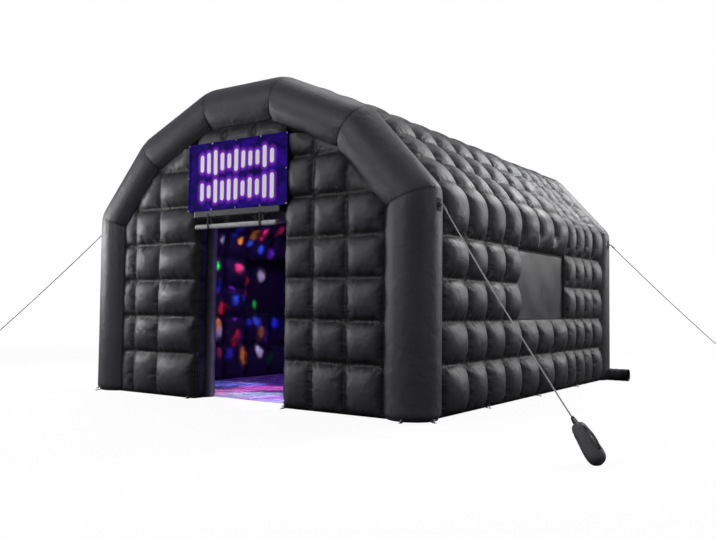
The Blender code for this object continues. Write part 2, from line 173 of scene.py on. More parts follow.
class TentColours(bpy.types.PropertyGroup):
    """Colours of the fabrics and fittings."""
    oxford: colour("Oxford", "Coated fabric of the tubes and pads", "#37373d")
    # Painted light: the door roll's paler grey stands for the light that falls on the inner jamb.
    roll: colour("Door roll", "Roll round the inside of the doorway, paler as painted light", "#9a9a9e")
    thread: colour("Thread", "Stitches along the seams", "#4a4a50")
    dust: colour("Dust", "Dust on the cloth near the ground", "#5b554e")
    film: colour("Window sheet", "Tinted sheet", "#39383d")
    # Painted highlight: the curtain's pale grey stands for the light that the rolled curtain catches.
    curtain: colour("Curtain", "Rolled curtain", "#b2b2b4")
    ground: colour("Groundsheet", "Pale sheet inside", "#c9c4d6")
    webbing: colour("Webbing", "Patches, straps and loops", "#19191b")
    rope: colour("Rope", "Braided guy rope", "#a8a8ac")
    canvas: colour("Canvas", "Weight bags", "#46464a")
    steel: colour("Steel", "Rings, pegs and grommets", "#b9bbbf")
    night: colour("Banner ground", "Deep violet of the print", "#17055c")
    edge: colour("Banner edge", "Blue of the print's edges", "#3a10b4")
    glow: colour("Banner glow", "Pink light in the print", "#a83cff")
    motif: colour("Banner motif", "Pale bars of the print", "#ffffff")


def groups(*names):
    """The tent's property groups of these names."""
    return [getattr(bpy.context.scene, "tent_" + name) for name in names]


def add_node(tree, kind, *values, out=None, **named):
    """Adds one node and gives its first output, or the one that out names.

    Values fill its sockets in order. A capitalised name is a socket, and any other name a setting.
    """
    node = tree.nodes.new("ShaderNode" + kind)
    sockets = dict(enumerate(values))
    for name, value in named.items():
        if name[0].isupper():
            sockets[name.replace("_", " ")] = value
        else:
            setattr(node, name, value)
    for socket, value in sockets.items():
        if isinstance(value, bpy.types.NodeSocket):
            tree.links.new(value, node.inputs[socket])
        else:
            node.inputs[socket].default_value = value
    if out:
        return node.outputs[out]
    return next(output for output in node.outputs if output.enabled)


def new_finish(name, base, roughness, **sockets):
    """A material with its shader's own sockets set, and its node tree."""
    material = bpy.data.materials.new(name)
    material.use_nodes = True
    shader = material.node_tree.nodes["Principled BSDF"]
    for socket, value in {"Base_Color": (*base, 1.0), "Roughness": roughness, **sockets}.items():
        shader.inputs[socket.replace("_", " ")].default_value = value
    return material, material.node_tree


def close_finish(material, heights=(), strength=1.0, **sockets):
    """Links the worked-out tint, gloss and relief to the material's shader."""
    tree = material.node_tree
    if heights:
        total = heights[0]
        for height in heights[1:]:
            total = add_node(tree, "Math", total, height, operation="ADD")
        sockets["Normal"] = add_node(tree, "Bump", Strength=strength, Distance=1.0, Height=total)
    for socket, value in sockets.items():
        tree.links.new(value, tree.nodes["Principled BSDF"].inputs[socket.replace("_", " ")])
    return material


def mottled(tree, tint, pattern, *limits, **settings):
    """The tint made darker or paler, as a pattern goes from one value to another."""
    shade = add_node(tree, "MapRange", pattern, *limits, **settings)
    return add_node(tree, "Mix", Factor=1.0, A=tint, B=shade, data_type="RGBA", blend_type="MULTIPLY")


def crossed_waves(tree, first, second, pitch):
    """Threads that pass over and under each other, from two lengths over the cloth."""
    waves = []
    for length in (first, second):
        turn = add_node(tree, "Math", length, math.tau / pitch, operation="MULTIPLY")
        waves.append(add_node(tree, "Math", turn, operation="SINE"))
    return add_node(tree, "Math", *waves, operation="MULTIPLY")


def weave_height(tree, pitch, depth):
    """Height of a plain weave, from the cloth's own metres; a pitch is two threads."""
    cloth = add_node(tree, "UVMap", uv_map="cloth")
    cross = crossed_waves(tree, *add_node(tree, "SeparateXYZ", cloth).node.outputs[:2], pitch)
    return add_node(tree, "Math", cross, depth, operation="MULTIPLY")


def coated_oxford(name, base, sewn=True):
    """600D polyester, woven and coated on its back: broad dull highlights, creases, puckered seams with
    painted shade beside them.
    """
    colours, = groups("colours")
    material, tree = new_finish(name, base, 0.5, IOR=1.47, Specular_IOR_Level=0.4)
    place = add_node(tree, "TexCoord", out="Object")
    cloud = add_node(tree, "TexNoise", place, Scale=1.9, Detail=6.0, Roughness=0.62)
    tint = mottled(tree, (*base, 1.0), cloud, 0.3, 0.7, 0.84, 1.18)
    # Dust gathers low on the cloth, in patches a hand wide.
    height = add_node(tree, "SeparateXYZ", place, out="Z")
    low = add_node(tree, "MapRange", height, 0.0, 0.42, 1.0, 0.0, interpolation_type="SMOOTHSTEP")
    patch = add_node(tree, "TexNoise", place, Scale=9.0, Detail=7.0, Roughness=0.7)
    speck = add_node(tree, "MapRange", patch, 0.45, 0.8, 0.0, 0.12)
    dusty = add_node(tree, "Math", low, speck, operation="MULTIPLY")
    tint = add_node(tree, "Mix", Factor=dusty, A=tint, B=(*colours.dust, 1.0), data_type="RGBA")
    crease = add_node(tree, "TexNoise", place, Scale=7.0, Detail=4.0, Distortion=0.9)
    # The real thread is 0.5 mm wide; it is drawn at 2.5 mm so that it shows.
    heights = [add_node(tree, "Math", crease, 0.010, operation="MULTIPLY"),
               weave_height(tree, 0.005, 0.00022)]
    if sewn:
        # Stitches and puckers along the seams, with painted shade beside them.
        tint, extra = stitches_and_painted_seam_shade(tree, tint, (*colours.thread, 1.0))
        heights += extra
    clouded = add_node(tree, "Math", cloud, dusty, operation="ADD")
    gloss = add_node(tree, "MapRange", clouded, 0.3, 0.8, 0.42, 0.58)
    return close_finish(material, heights, 0.8, Base_Color=tint, Roughness=gloss)


def steel_finish(name, base, roughness):
    """Zinc-plated steel: a grey mirror, dulled in patches the size of a fingertip."""
    material, tree = new_finish(name, base, roughness, Metallic=1.0)
    spangle = add_node(tree, "TexVoronoi", add_node(tree, "TexCoord", out="Object"), Scale=120.0)
    dull = add_node(tree, "MapRange", spangle, 0.0, 1.0, roughness - 0.08, roughness + 0.18)
    tint = mottled(tree, (*base, 1.0), spangle, 0.0, 1.0, 1.05, 0.8)
    return close_finish(material, Base_Color=tint, Roughness=dull)


def vinyl_film(name, base):
    """Soft calendered vinyl: an even gloss over slow ripples, hazed by dust and fold marks."""
    material, tree = new_finish(name, base, 0.4, IOR=1.53, Specular_IOR_Level=0.2)
    place = add_node(tree, "TexCoord", out="Object")
    ripple = add_node(tree, "TexNoise", place, Scale=3.2, Detail=2.0, Distortion=0.6)
    marks = add_node(tree, "TexNoise", place, Scale=7.0, Detail=3.0, Roughness=0.5)
    tint = mottled(tree, (*base, 1.0), marks, 0.35, 0.75, 0.97, 1.06)
    gloss = add_node(tree, "MapRange", marks, 0.3, 0.8, 0.36, 0.46)
    wave = add_node(tree, "Math", ripple, 0.006, operation="MULTIPLY")
    return close_finish(material, [wave], 0.6, Base_Color=tint, Roughness=gloss)


# Bars in a row, their spacing, and the heights of the two rows as shares of the banner's.
BARS, BAR_PITCH, BAR_LEVELS = 11, 0.108, (0.70, 0.28)


def bar_rows(tree, cloth, centres, start):
    """Distance to the nearest of two rows of upright rounded bars, of uneven height."""
    x, y = add_node(tree, "SeparateXYZ", cloth).node.outputs[:2]
    across = add_node(tree, "Math", x, start, operation="SUBTRACT")
    steps = add_node(tree, "Math", across, 1 / BAR_PITCH, operation="MULTIPLY")
    capped = add_node(tree, "Clamp", add_node(tree, "Math", steps, operation="FLOOR"), 0.0, BARS - 1.0)
    middle = add_node(tree, "Math", capped, BAR_PITCH, BAR_PITCH / 2, operation="MULTIPLY_ADD")
    aside = add_node(tree, "Math", across, middle, operation="SUBTRACT")
    rows = []
    for row, centre in enumerate(centres):
        place = add_node(tree, "CombineXYZ", capped, 3.7 * row + 1.0)
        chance = add_node(tree, "TexWhiteNoise", place, noise_dimensions="3D")
        tall = add_node(tree, "MapRange", chance, 0.0, 1.0, 0.040, 0.120)
        over = y
        for operation, other in (("SUBTRACT", centre), ("ABSOLUTE", 0.0), ("SUBTRACT", tall),
                                 ("MAXIMUM", 0.0)):
            over = add_node(tree, "Math", over, other, operation=operation)
        reach = add_node(tree, "CombineXYZ", aside, over)
        rows.append(add_node(tree, "VectorMath", reach, operation="LENGTH"))
    return add_node(tree, "Math", *rows, operation="MINIMUM")


def printed_banner(name, colours, width, height):
    """Dye-printed satin banner: a violet cloud with two rows of glowing bars, under a soft sheen."""
    material, tree = new_finish(name, colours.night, 0.75, IOR=1.5, Specular_IOR_Level=0.04)
    cloth = add_node(tree, "UVMap", uv_map="cloth")
    cloud = add_node(tree, "TexNoise", cloth, Scale=5.0, Detail=6.0, Roughness=0.6, Distortion=1.2)
    far = bar_rows(tree, cloth, [height * level for level in BAR_LEVELS], (width - BARS * BAR_PITCH) / 2)
    tint = (*colours.night, 1.0)
    for pattern, limits, ease, ink in ((cloud, (0.42, 0.72, 0.0, 1.0), "LINEAR", colours.edge),
                                       (far, (0.02, 0.095, 0.7, 0.0), "SMOOTHERSTEP", colours.glow),
                                       (far, (0.026, 0.033, 1.0, 0.0), "LINEAR", colours.motif)):
        amount = add_node(tree, "MapRange", pattern, *limits, interpolation_type=ease)
        tint = add_node(tree, "Mix", Factor=amount, A=tint, B=(*ink, 1.0), data_type="RGBA")
    soft = add_node(tree, "TexNoise", cloth, Scale=2.4, Detail=2.0)
    wave = add_node(tree, "Math", soft, 0.03, operation="MULTIPLY")
    # The real thread is 0.3 mm wide; it is drawn at 2.5 mm so that it shows.
    return close_finish(material, [wave, weave_height(tree, 0.005, 0.0002)], 0.7, Base_Color=tint)


def coated_groundsheet(name, base):
    """Polyethylene tape cloth with a glossy film, scuffed by feet."""
    material, tree = new_finish(name, base, 0.2, IOR=1.51)
    place = add_node(tree, "TexCoord", out="Object")
    scuff = add_node(tree, "TexNoise", place, Scale=6.0, Detail=9.0, Roughness=0.72)
    gloss = add_node(tree, "MapRange", scuff, 0.35, 0.7, 0.14, 0.4)
    tint = mottled(tree, (*base, 1.0), scuff, 0.35, 0.7, 1.05, 0.86)
    slow = add_node(tree, "TexNoise", place, Scale=3.0, Detail=3.0)
    wave = add_node(tree, "Math", slow, 0.03, operation="MULTIPLY")
    # The real tapes are 2.5 mm wide; they are drawn at 8 mm so that they show.
    return close_finish(material, [wave, weave_height(tree, 0.016, 0.0004)], 0.6, Base_Color=tint,
                        Roughness=gloss)


def stitches_and_painted_seam_shade(tree, tint, thread):
    """A dark sewn line with a row of 6 mm stitches beside it, puckers that run into it, and painted shade
    on both sides.
    """
    gap, run = (add_node(tree, "Attribute", attribute_name=name, out="Fac")
                for name in ("seam_gap", "seam_run"))
    tint = mottled(tree, tint, gap, 0.002, 0.007, 0.25, 1.0)
    # Painted shade: the cloth is drawn darker for about a hand's width towards a seam, where the valley
    # lies in shade, and a little paler at the middle of a pad.
    tint = mottled(tree, tint, gap, 0.0, 0.10, 0.14, 1.12, interpolation_type="SMOOTHSTEP")
    # A stitch runs over two thirds of each 9 mm, and its row lies 10 mm from the seam.
    beside = add_node(tree, "Math", gap, 0.010, 0.0012, operation="COMPARE")
    part = run
    for operation, other in (("MULTIPLY", 1 / 0.009), ("FRACT", 0.0), ("LESS_THAN", 0.66),
                             ("MULTIPLY", beside)):
        part = add_node(tree, "Math", part, other, operation=operation)
    tint = add_node(tree, "Mix", Factor=part, A=tint, B=thread, data_type="RGBA")
    across = add_node(tree, "CombineXYZ", run, gap)
    stretched = add_node(tree, "VectorMath", across, (26.0, 5.0, 1.0), operation="MULTIPLY")
    ripple = add_node(tree, "TexNoise", stretched, Scale=1.0, Detail=2.0)
    fade = add_node(tree, "MapRange", gap, 0.0, 0.11, 0.016, 0.0, interpolation_type="SMOOTHSTEP")
    return tint, [add_node(tree, "Math", ripple, fade, operation="MULTIPLY"),
                  add_node(tree, "Math", part, 0.0008, operation="MULTIPLY")]


def woven_band(name, base, rib=0.012, roughness=0.75):
    """Polyester woven into a band or braid: slanted ribs that catch the light.

    A real rib is about 2 mm wide; it is drawn at half of rib so that it shows.
    """
    material, tree = new_finish(name, base, roughness, IOR=1.5)
    cloth = add_node(tree, "UVMap", uv_map="cloth")
    x, y = add_node(tree, "SeparateXYZ", cloth).node.outputs[:2]
    slant = [add_node(tree, "Math", x, y, operation=way) for way in ("ADD", "SUBTRACT")]
    cross = crossed_waves(tree, *slant, rib)
    tint = mottled(tree, (*base, 1.0), cross, -1.0, 1.0, 0.72, 1.3)
    raised = add_node(tree, "Math", cross, rib * 0.12, operation="MULTIPLY")
    return close_finish(material, [raised], 1.0, Base_Color=tint)


def plain_fabric(name, base, roughness):
    """Woven fabric without a coat: a matt face with slubs and soft creases."""
    material, tree = new_finish(name, base, roughness)
    place = add_node(tree, "TexCoord", out="Object")
    slub = add_node(tree, "TexNoise", place, Scale=22.0, Detail=5.0, Roughness=0.65)
    tint = mottled(tree, (*base, 1.0), slub, 0.3, 0.7, 0.78, 1.2)
    soft = add_node(tree, "Math", slub, 0.004, operation="MULTIPLY")
    # The real thread is 0.6 mm wide; it is drawn at 3 mm so that it shows.
    return close_finish(material, [soft, weave_height(tree, 0.006, 0.0004)], 0.9, Base_Color=tint)


def unit(vectors):
    """The same directions, each one metre long."""
    return vectors / np.linalg.norm(vectors, axis=-1, keepdims=True)


def lengths_along(path):
    """How far each point of a path lies from its start, along the path."""
    return np.append(0, np.cumsum(np.linalg.norm(np.diff(path, axis=0), axis=1)))


def plane(first, second):
    """A grid of every pair of two rows' values."""
    return np.stack(np.meshgrid(first, second, indexing="ij"), -1)


def turns(number):
    """Evenly spread angles of a ring's points."""
    return np.linspace(0, math.tau, number, endpoint=False)


def arc(centre, first, second, end, number):
    """Points that turn about a centre from one direction through another."""
    return [centre + math.cos(a) * first + math.sin(a) * second for a in np.linspace(0, end, number)]


def arch_middle(shape):
    """How far the legs and the arches stand from the middle of the tent."""
    return shape.width / 2 - shape.tube_radius, shape.length / 2 - shape.tube_radius


def arch_bends(shape):
    """The arch's bends from the left foot to the right foot, as (x, z)."""
    leg, _ = arch_middle(shape)
    right = [(shape.crown_half, shape.crown_height), (shape.shoulder_half, shape.shoulder_height),
             (leg, shape.eave_height), (leg, 0.0)]
    return np.array([(-x, z) for x, z in reversed(right)] + right)


def offset_bends(bends, distance):
    """The same bends moved outward, with mitred corners."""
    runs = unit(np.diff(bends, axis=0))
    out = np.stack((-runs[:, 1], runs[:, 0]), axis=1)
    joints = unit(np.vstack((out[:1], out[:-1] + out[1:], out[-1:])))
    reach = np.sum(joints * np.vstack((out, out[-1:])), axis=1)
    return bends + joints * (distance / reach)[:, None]


def rounded_outline(bends, rounding, sample=0.01, spare=0.6):
    """Lengths, points and outward normals along the bends, with the corners eased."""
    lengths = lengths_along(bends)
    run = np.arange(-spare, lengths[-1] + spare, sample)
    x = np.interp(run, lengths, bends[:, 0])
    z = np.interp(run, lengths, bends[:, 1]) + np.minimum(run, 0) - np.maximum(run - lengths[-1], 0)
    points = np.stack((x, z), axis=1)
    span = 2 * int(rounding / sample / 2) + 1
    for _ in range(2):
        padded = np.pad(points, ((span // 2, span // 2), (0, 0)), mode="edge")
        points = np.stack([np.convolve(padded[:, k], np.ones(span) / span, "valid") for k in (0, 1)],
                          axis=1)
    slope = unit(np.gradient(points, axis=0))
    return run, points, np.stack((-slope[:, 1], slope[:, 0]), axis=1)


def arch_distance(x, z, bends):
    """How far points of the arch's plane lie inside its centreline; below nought outside it."""
    points = np.stack((x, z), axis=-1)
    best = np.full(x.shape, 1e9)
    for start, end in zip(bends, bends[1:]):
        along = end - start
        part = np.clip((points - start) @ along / (along @ along), 0, 1)
        best = np.minimum(best, np.linalg.norm(points - start - part[..., None] * along, axis=-1))
    return np.where(z < np.interp(x, bends[1:-1, 0], bends[1:-1, 1]), best, -best)


def grid_lines(stops, step):
    """Evenly spread lines with one on each stop."""
    lines = [stops[0]]
    for low, high in zip(stops, stops[1:]):
        parts = max(1, round((high - low) / step))
        lines += list(np.linspace(low, high, parts + 1)[1:])
    return np.array(lines)


def on_lines(values, lines):
    """Which values lie on one of the lines."""
    return np.min(np.abs(np.subtract.outer(values, np.array(lines))), axis=-1) < NEAR


def relax(field, held, source, rounds=420):
    """Settles a height field between the points that are held."""
    for _ in range(rounds):
        wide = np.pad(field, 1, mode="edge")
        mean = (wide[2:, 1:-1] + wide[:-2, 1:-1] + wide[1:-1, 2:] + wide[1:-1, :-2]) / 4
        field = np.where(held, field, mean + source)
    return field


def mesh_piece(name, points, faces, material):
    """One named mesh object, shaded smooth."""
    mesh = bpy.data.meshes.new(name)
    mesh.from_pydata([tuple(p) for p in points], [], [tuple(int(i) for i in f) for f in faces])
    mesh.update()
    mesh.shade_smooth()
    mesh.materials.append(material)
    item = bpy.data.objects.new(name, mesh)
    bpy.context.scene.collection.objects.link(item)
    return item


def lay_flat(item, flat):
    """Gives each vertex its place on the flat cloth, in metres, as the piece's UV."""
    mesh = item.data
    corner = np.zeros(len(mesh.loops), int)
    mesh.loops.foreach_get("vertex_index", corner)
    layer = mesh.uv_layers.new(name="cloth")
    layer.data.foreach_set("uv", np.asarray(flat)[corner].astype(np.float32).ravel())


def sew_grid(name, points, flat, facing, material, cells=None):
    """A sheet from a grid of points, or from its chosen cells; facing is the side that shows."""
    index = np.arange(points.shape[0] * points.shape[1]).reshape(points.shape[:2])
    quads = np.stack((index[:-1, :-1], index[1:, :-1], index[1:, 1:], index[:-1, 1:]), -1)
    quads = quads.reshape(-1, 4) if cells is None else quads[cells]
    every = points.reshape(-1, 3)
    first = quads[len(quads) // 2]
    turn = np.cross(every[first[1]] - every[first[0]], every[first[3]] - every[first[0]])
    if turn @ np.broadcast_to(facing, points.shape).reshape(-1, 3)[first[0]] < 0:
        quads = quads[:, ::-1]
    used, compact = np.unique(quads, return_inverse=True)
    item = mesh_piece(name, every[used], compact.reshape(-1, 4), material)
    lay_flat(item, flat.reshape(-1, 2)[used])
    return item, used


# A full pad's settled height to this power is round on top and steep at its seams.
PAD_POWER = 0.8
# What that gives at the middle of a wall's pad, so a full pad stands its puff off the seams.
PAD_FULL = 0.0351
# The power that makes a seam rise steeply from its crossings.
BOW_POWER = 0.6
# How much one pad differs from the next.
PAD_SPREAD = 0.05


def pad_heights(u, v, u_seams, v_seams, outside, loose, puff, lifts, seed):
    """Start height of every grid point: full pads between seams that rise a little between crossings."""
    random = np.random.default_rng(seed)
    u_line, v_line = on_lines(u, u_seams)[:, None], on_lines(v, v_seams)[None, :]
    held = outside | u_line | (v_line & ~loose)
    cell_u, cell_v = (np.clip(np.searchsorted(seams, lines + NEAR) - 1, 0, len(seams) - 2)
                      for lines, seams in ((u, u_seams), (v, v_seams)))
    area = np.mean(np.diff(u)) * np.mean(np.diff(v))
    vary = 1 + PAD_SPREAD * random.standard_normal((len(u_seams), len(v_seams)))
    full = relax(np.zeros(held.shape), held, area / 4) ** PAD_POWER
    full = full * vary[cell_u][:, cell_v] / PAD_FULL
    bow_u, bow_v = (np.sin(np.pi * (np.interp(lines, seams, np.arange(len(seams))) % 1)) ** BOW_POWER
                    for lines, seams in ((u, u_seams), (v, v_seams)))
    rise = (on_lines(u, u_seams) * np.interp(u, u_seams, lifts[0]))[:, None] * bow_v
    rise = np.maximum(rise, bow_u[:, None] * (on_lines(v, v_seams) * np.interp(v, v_seams, lifts[1])))
    rise = relax(rise * ~outside, held, 0.0)
    return held, rise + full * np.maximum(puff - rise, 0)


QUILTS = []


def quilted_skin(name, stops, seams, lifts, place, held, cells, puff, material, seed, soft=True,
                 loose=None):
    """One face of quilted wall: its grid's stops, its seams and their lifts come in both directions.

    A soft one is blown up as cloth later; loose says where the second direction's seams are open.
    """
    quilt, = groups("quilt")
    step = quilt.step if soft else quilt.step * 2
    u, v = (grid_lines(line, step) for line in stops)
    flat = plane(u, v)
    uu, vv = flat[..., 0], flat[..., 1]
    base, facing = place(uu, vv)
    open_seam = loose(uu, vv) if loose else np.zeros(uu.shape, bool)
    fullness = puff(uu, vv) if callable(puff) else puff
    held, heights = pad_heights(u, v, *seams, held(uu, vv), open_seam, fullness, lifts, seed)
    shown = cells(*np.moveaxis(plane((u[:-1] + u[1:]) / 2, (v[:-1] + v[1:]) / 2), -1, 0))
    item, used = sew_grid(name, base + facing * heights[..., None], flat, facing, material, shown)
    gap_u, gap_v = (np.min(np.abs(value[..., None] - np.array(lines)), axis=-1)
                    for value, lines in ((uu, seams[0]), (vv, seams[1])))
    gap_v = gap_v + open_seam
    store(item, "seam_gap", np.minimum(gap_u, gap_v).ravel()[used])
    store(item, "seam_run", np.where(gap_u < gap_v, vv, uu).ravel()[used])
    if soft:
        group = item.vertex_groups.new(name="held")
        group.add([int(i) for i in np.flatnonzero(held.ravel()[used])], 1.0, "REPLACE")
        QUILTS.append((item, base.reshape(-1, 3)[used], facing.reshape(-1, 3)[used], seed))
    return item


def store(item, name, values):
    """Keeps one number for each vertex, for the materials to read."""
    layer = item.data.attributes.new(name, "FLOAT", "POINT")
    layer.data.foreach_set("value", np.asarray(values, np.float32).ravel())


def fit(item, slot, *nodes):
    """The piece rides on the tent and stands for its CAD nodes, which are hidden; slot is not used."""
    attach(item, "root")
    if nodes:
        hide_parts(*nodes)
    return item


# Place of a tube's lengthwise seam, as an angle from its outer side.
TUBE_SEAM = 2.5
# Points round a tube, and the spacing of its rings.
TUBE_SIDES, TUBE_STEP = 96, 0.032
# A full tube stands so far past its radius, and is so much wider than deep.
TUBE_SWELL, TUBE_OVAL = 1.022, 0.01
# How far a tube pulls in at its mitre seams and at its feet, and how wide each place is.
PINCH, PINCH_WIDE, FOOT_PINCH, FOOT_WIDE = 0.05, 0.03, 0.12, 0.035
# The shade beside a tube's seams is half as wide as beside a pad's, and less dark.
TUBE_SHADE, TUBE_SHADE_START = 2, 0.03


def tube_points(shape, y):
    """One arch tube, ring by ring, with pinched mitre seams: its points, flat places and seam gaps."""
    bends = arch_bends(shape)
    radius = shape.tube_radius
    runs = unit(np.diff(bends, axis=0))
    joints = unit(np.vstack((runs[:1], runs[:-1] + runs[1:], runs[-1:])))
    angle = np.linspace(-math.pi, math.pi, TUBE_SIDES, endpoint=False)
    length_seam = radius * np.abs(np.abs(angle) - TUBE_SEAM)
    last = len(runs) - 1
    rings, flat, gaps, travelled = [], [], [], 0.0
    for index, run in enumerate(runs):
        start, end = bends[index], bends[index + 1]
        out = np.array((-run[1], run[0]))
        radial = radius * np.cos(angle)[:, None] * out
        slides = [-(radial @ joint) / (run @ joint) for joint in joints[index:index + 2]]
        length = np.linalg.norm(end - start)
        parts = max(6, round(length / TUBE_STEP))
        reach = length + slides[1] - slides[0]
        for part in (0.5 - 0.5 * np.cos(np.pi * np.linspace(0, 1, parts + 1)))[index > 0:]:
            slide = (1 - part) * slides[0] + part * slides[1]
            ends = np.stack((part * reach, (1 - part) * reach))
            near = np.min(ends[index == 0:2 - (index == last)], axis=0)
            swell = TUBE_SWELL - PINCH * np.exp(-near / PINCH_WIDE) + crease_pattern(
                angle, near, index, travelled + part * length)
            # Only the feet pull in, where they stand.
            foot = ends[1] if index == last else ends[0] + (index > 0)
            swell = swell - FOOT_PINCH * np.exp(-(foot / FOOT_WIDE) ** 2) + TUBE_OVAL * np.cos(2 * angle)
            place = start + (end - start) * part + radial * swell[:, None] + run * slide[:, None]
            depth = y + radius * np.sin(angle) * swell
            rings.append(np.stack((place[:, 0], depth, np.maximum(place[:, 1], 0)), axis=1))
            flat.append(np.stack((angle * radius, travelled + part * length + slide), axis=1))
            gaps.append(np.minimum(near, length_seam) * TUBE_SHADE + TUBE_SHADE_START)
        travelled += length
    return np.array(rings), np.array(flat), np.array(gaps)


def crease_pattern(angle, near, index, run):
    """Short creases across a mitre seam, deeper on the inside of the bend."""
    phase = 1.7 * index
    ripple = np.cos(27 * angle + phase + 2.0 * np.sin(3 * angle + phase))
    depth = 0.003 + 0.012 * np.clip(-np.cos(angle), 0, 1)
    soft = 0.004 * np.sin(2 * angle + 1.3 * run + phase) * np.sin(2.1 * run + phase)
    return ripple * depth * np.exp(-near / 0.10) * (near / (near + 0.01)) + soft


def ring_piece(name, rings, flat, material, capped=(True, True)):
    """A tube-like piece from its closed rings, with its ends capped or open."""
    index = np.arange(rings.shape[0] * rings.shape[1]).reshape(rings.shape[:2])
    after = np.roll(index, -1, axis=1)
    faces = np.stack((index[:-1], after[:-1], after[1:], index[1:]), -1).reshape(-1, 4).tolist()
    faces += [index[0][::-1].tolist()] * capped[0] + [index[-1].tolist()] * capped[1]
    item = mesh_piece(name, rings.reshape(-1, 3), faces, material)
    bm = bmesh.new()
    bm.from_mesh(item.data)
    bmesh.ops.recalc_face_normals(bm, faces=bm.faces[:])
    bm.to_mesh(item.data)
    bm.free()
    if flat is not None:
        lay_flat(item, flat.reshape(-1, 2))
    return item


# Webbing is this thick.
WEB_THICK = 0.003
# Outline of a strap's cut end, as shares of its width and thickness.
STRAP_EDGE = ((-0.5, -0.2), (-0.45, -0.5), (0.45, -0.5), (0.5, -0.2), (0.5, 0.2), (0.45, 0.5),
              (-0.45, 0.5), (-0.5, 0.2))


def strap_piece(name, path, across, width, material, thick=WEB_THICK):
    """A flat strap along a path; across gives the direction of its width, or one for each point."""
    path = np.array([tuple(p) for p in path], float)
    across = unit(np.broadcast_to(np.array(across, float), path.shape))
    face = unit(np.cross(unit(np.gradient(path, axis=0)), across))
    edge = np.array(STRAP_EDGE) * (width, thick)
    rings = path[:, None] + edge[None, :, :1] * across[:, None] + edge[None, :, 1:] * face[:, None]
    return ring_piece(name, rings, plane(lengths_along(path), edge[:, 0] + width)[..., ::-1], material)


def eyelet(name, centre, facing, radius, thick, material):
    """A round metal ring about a point."""
    facing = Vector(facing).normalized()
    side = facing.orthogonal().normalized()
    path = arc(Vector(centre), radius * side, radius * facing.cross(side), math.tau, 25)
    return swept_piece(name, path, thick, 8, material)


def solid_sheet(item, thick):
    """Gives a thin sheet its thickness, behind the side that shows."""
    thicken = item.modifiers.new("thickness", "SOLIDIFY")
    thicken.thickness = thick
    thicken.offset = -1
    return item


# Each soft box: its name, place, the point it faces, its size in metres and its watts.
BOX_LIGHTS = (("left_key", (-6.5, -4.5, 2.4), (0, -2.6, 1.3), 1.6, 200),
              ("front_left", (-3.5, -12.5, 6.0), (0, -2.0, 1.5), 3.0, 450),
              ("rear_right_key", (8.0, 9.5, 4.2), (1.8, 0, 1.3), 2.6, 430),
              ("rear_high", (5.0, 8.5, 9.0), (0.8, 0, 2.5), 2.6, 760),
              ("overhead", (0.0, 0.0, 10.0), (0, 0, 1.2), 5.0, 300),
              ("right_fill", (11.0, -2.0, 4.0), (0, 0, 1.5), 4.0, 120))
# The photograph's viewpoint, its heading, climb and tilt in degrees, and its lens in millimetres.
CAMERA_PLACE, CAMERA_ANGLES, CAMERA_LENS = (6.146, -9.572, 1.114), (34.27, 2.69, 0.64), 39.03


class TENT_OT_stage(bpy.types.Operator):
    """Camera, floor, lights and backdrop"""
    bl_idname = "tent.stage"
    bl_label = "Stage"

    def execute(self, context):
        place_camera(context)
        light_world(context)
        floor = studio_floor()
        for name, place, target, size, power in BOX_LIGHTS:
            add_light(name, "AREA", place, target, power, size=size)
        context.scene.view_settings.view_transform = "Standard"
        return {"FINISHED"}


def place_camera(context):
    """The photograph's viewpoint."""
    yaw, pitch, roll = (math.radians(angle) for angle in CAMERA_ANGLES)
    ahead = Vector((-math.sin(yaw) * math.cos(pitch), math.cos(yaw) * math.cos(pitch), math.sin(pitch)))
    right = Vector((math.cos(yaw), math.sin(yaw), 0))
    top = right.cross(ahead)
    turned = math.cos(roll) * right + math.sin(roll) * top
    upright = math.cos(roll) * top - math.sin(roll) * right
    camera = bpy.data.objects.new("camera", bpy.data.cameras.new("camera"))
    camera.data.lens = CAMERA_LENS
    camera.data.sensor_width = 36.0
    camera.data.clip_end = 200.0
    camera.matrix_world = Matrix.Translation(CAMERA_PLACE) @ Matrix(
        (turned, upright, -ahead)).transposed().to_4x4()
    context.scene.collection.objects.link(camera)
    context.scene.camera = camera


def light_world(context):
    """White paper backdrop, with a softer and dimmer room for the light that falls on the tent."""
    world = bpy.data.worlds.new("studio")
    world.use_nodes = True
    tree = world.node_tree
    background = tree.nodes["Background"]
    height = add_node(tree, "SeparateXYZ", add_node(tree, "TexCoord", out="Generated"), out="Z")
    room = add_node(tree, "MapRange", height, -0.1, 0.25, 0.02, 0.3)
    seen = add_node(tree, "Mix", Factor=add_node(tree, "LightPath", out="Is Camera Ray"), A=room, B=1.0)
    tree.links.new(seen, background.inputs["Strength"])
    background.inputs["Color"].default_value = (1, 1, 1, 1)
    context.scene.world = world


def studio_floor():
    """Matt white paper: a disc that fades into the backdrop far from the tent."""
    angle = turns(64)
    grid = np.array([[(r * math.cos(a), r * math.sin(a), -0.002) for a in angle]
                     for r in (2.0, 6.0, 12.0, 20.0, 40.0)])
    material = bpy.data.materials.new("matt studio floor")
    material.use_nodes = True
    tree = material.node_tree
    tree.nodes.remove(tree.nodes["Principled BSDF"])
    # What the eye sees stays near white; what the tent receives from the floor stays dim.
    paper = add_node(tree, "Emission", (1, 1, 1, 1), 0.93)
    seen = add_node(tree, "AddShader", paper, add_node(tree, "BsdfDiffuse", (0.07, 0.07, 0.07, 1)))
    dim = add_node(tree, "BsdfDiffuse", (0.06, 0.06, 0.06, 1))
    both = add_node(tree, "MixShader", add_node(tree, "LightPath", out="Is Camera Ray"), dim, seen)
    far = add_node(tree, "VectorMath", add_node(tree, "TexCoord", out="Object"), operation="LENGTH")
    fade = add_node(tree, "MapRange", far, 7.5, 15.0, interpolation_type="SMOOTHSTEP")
    mixed = add_node(tree, "MixShader", fade, both, add_node(tree, "BsdfTransparent"))
    tree.links.new(mixed, tree.nodes["Material Output"].inputs["Surface"])
    return ring_piece("studio_floor", grid, None, material, (True, False))


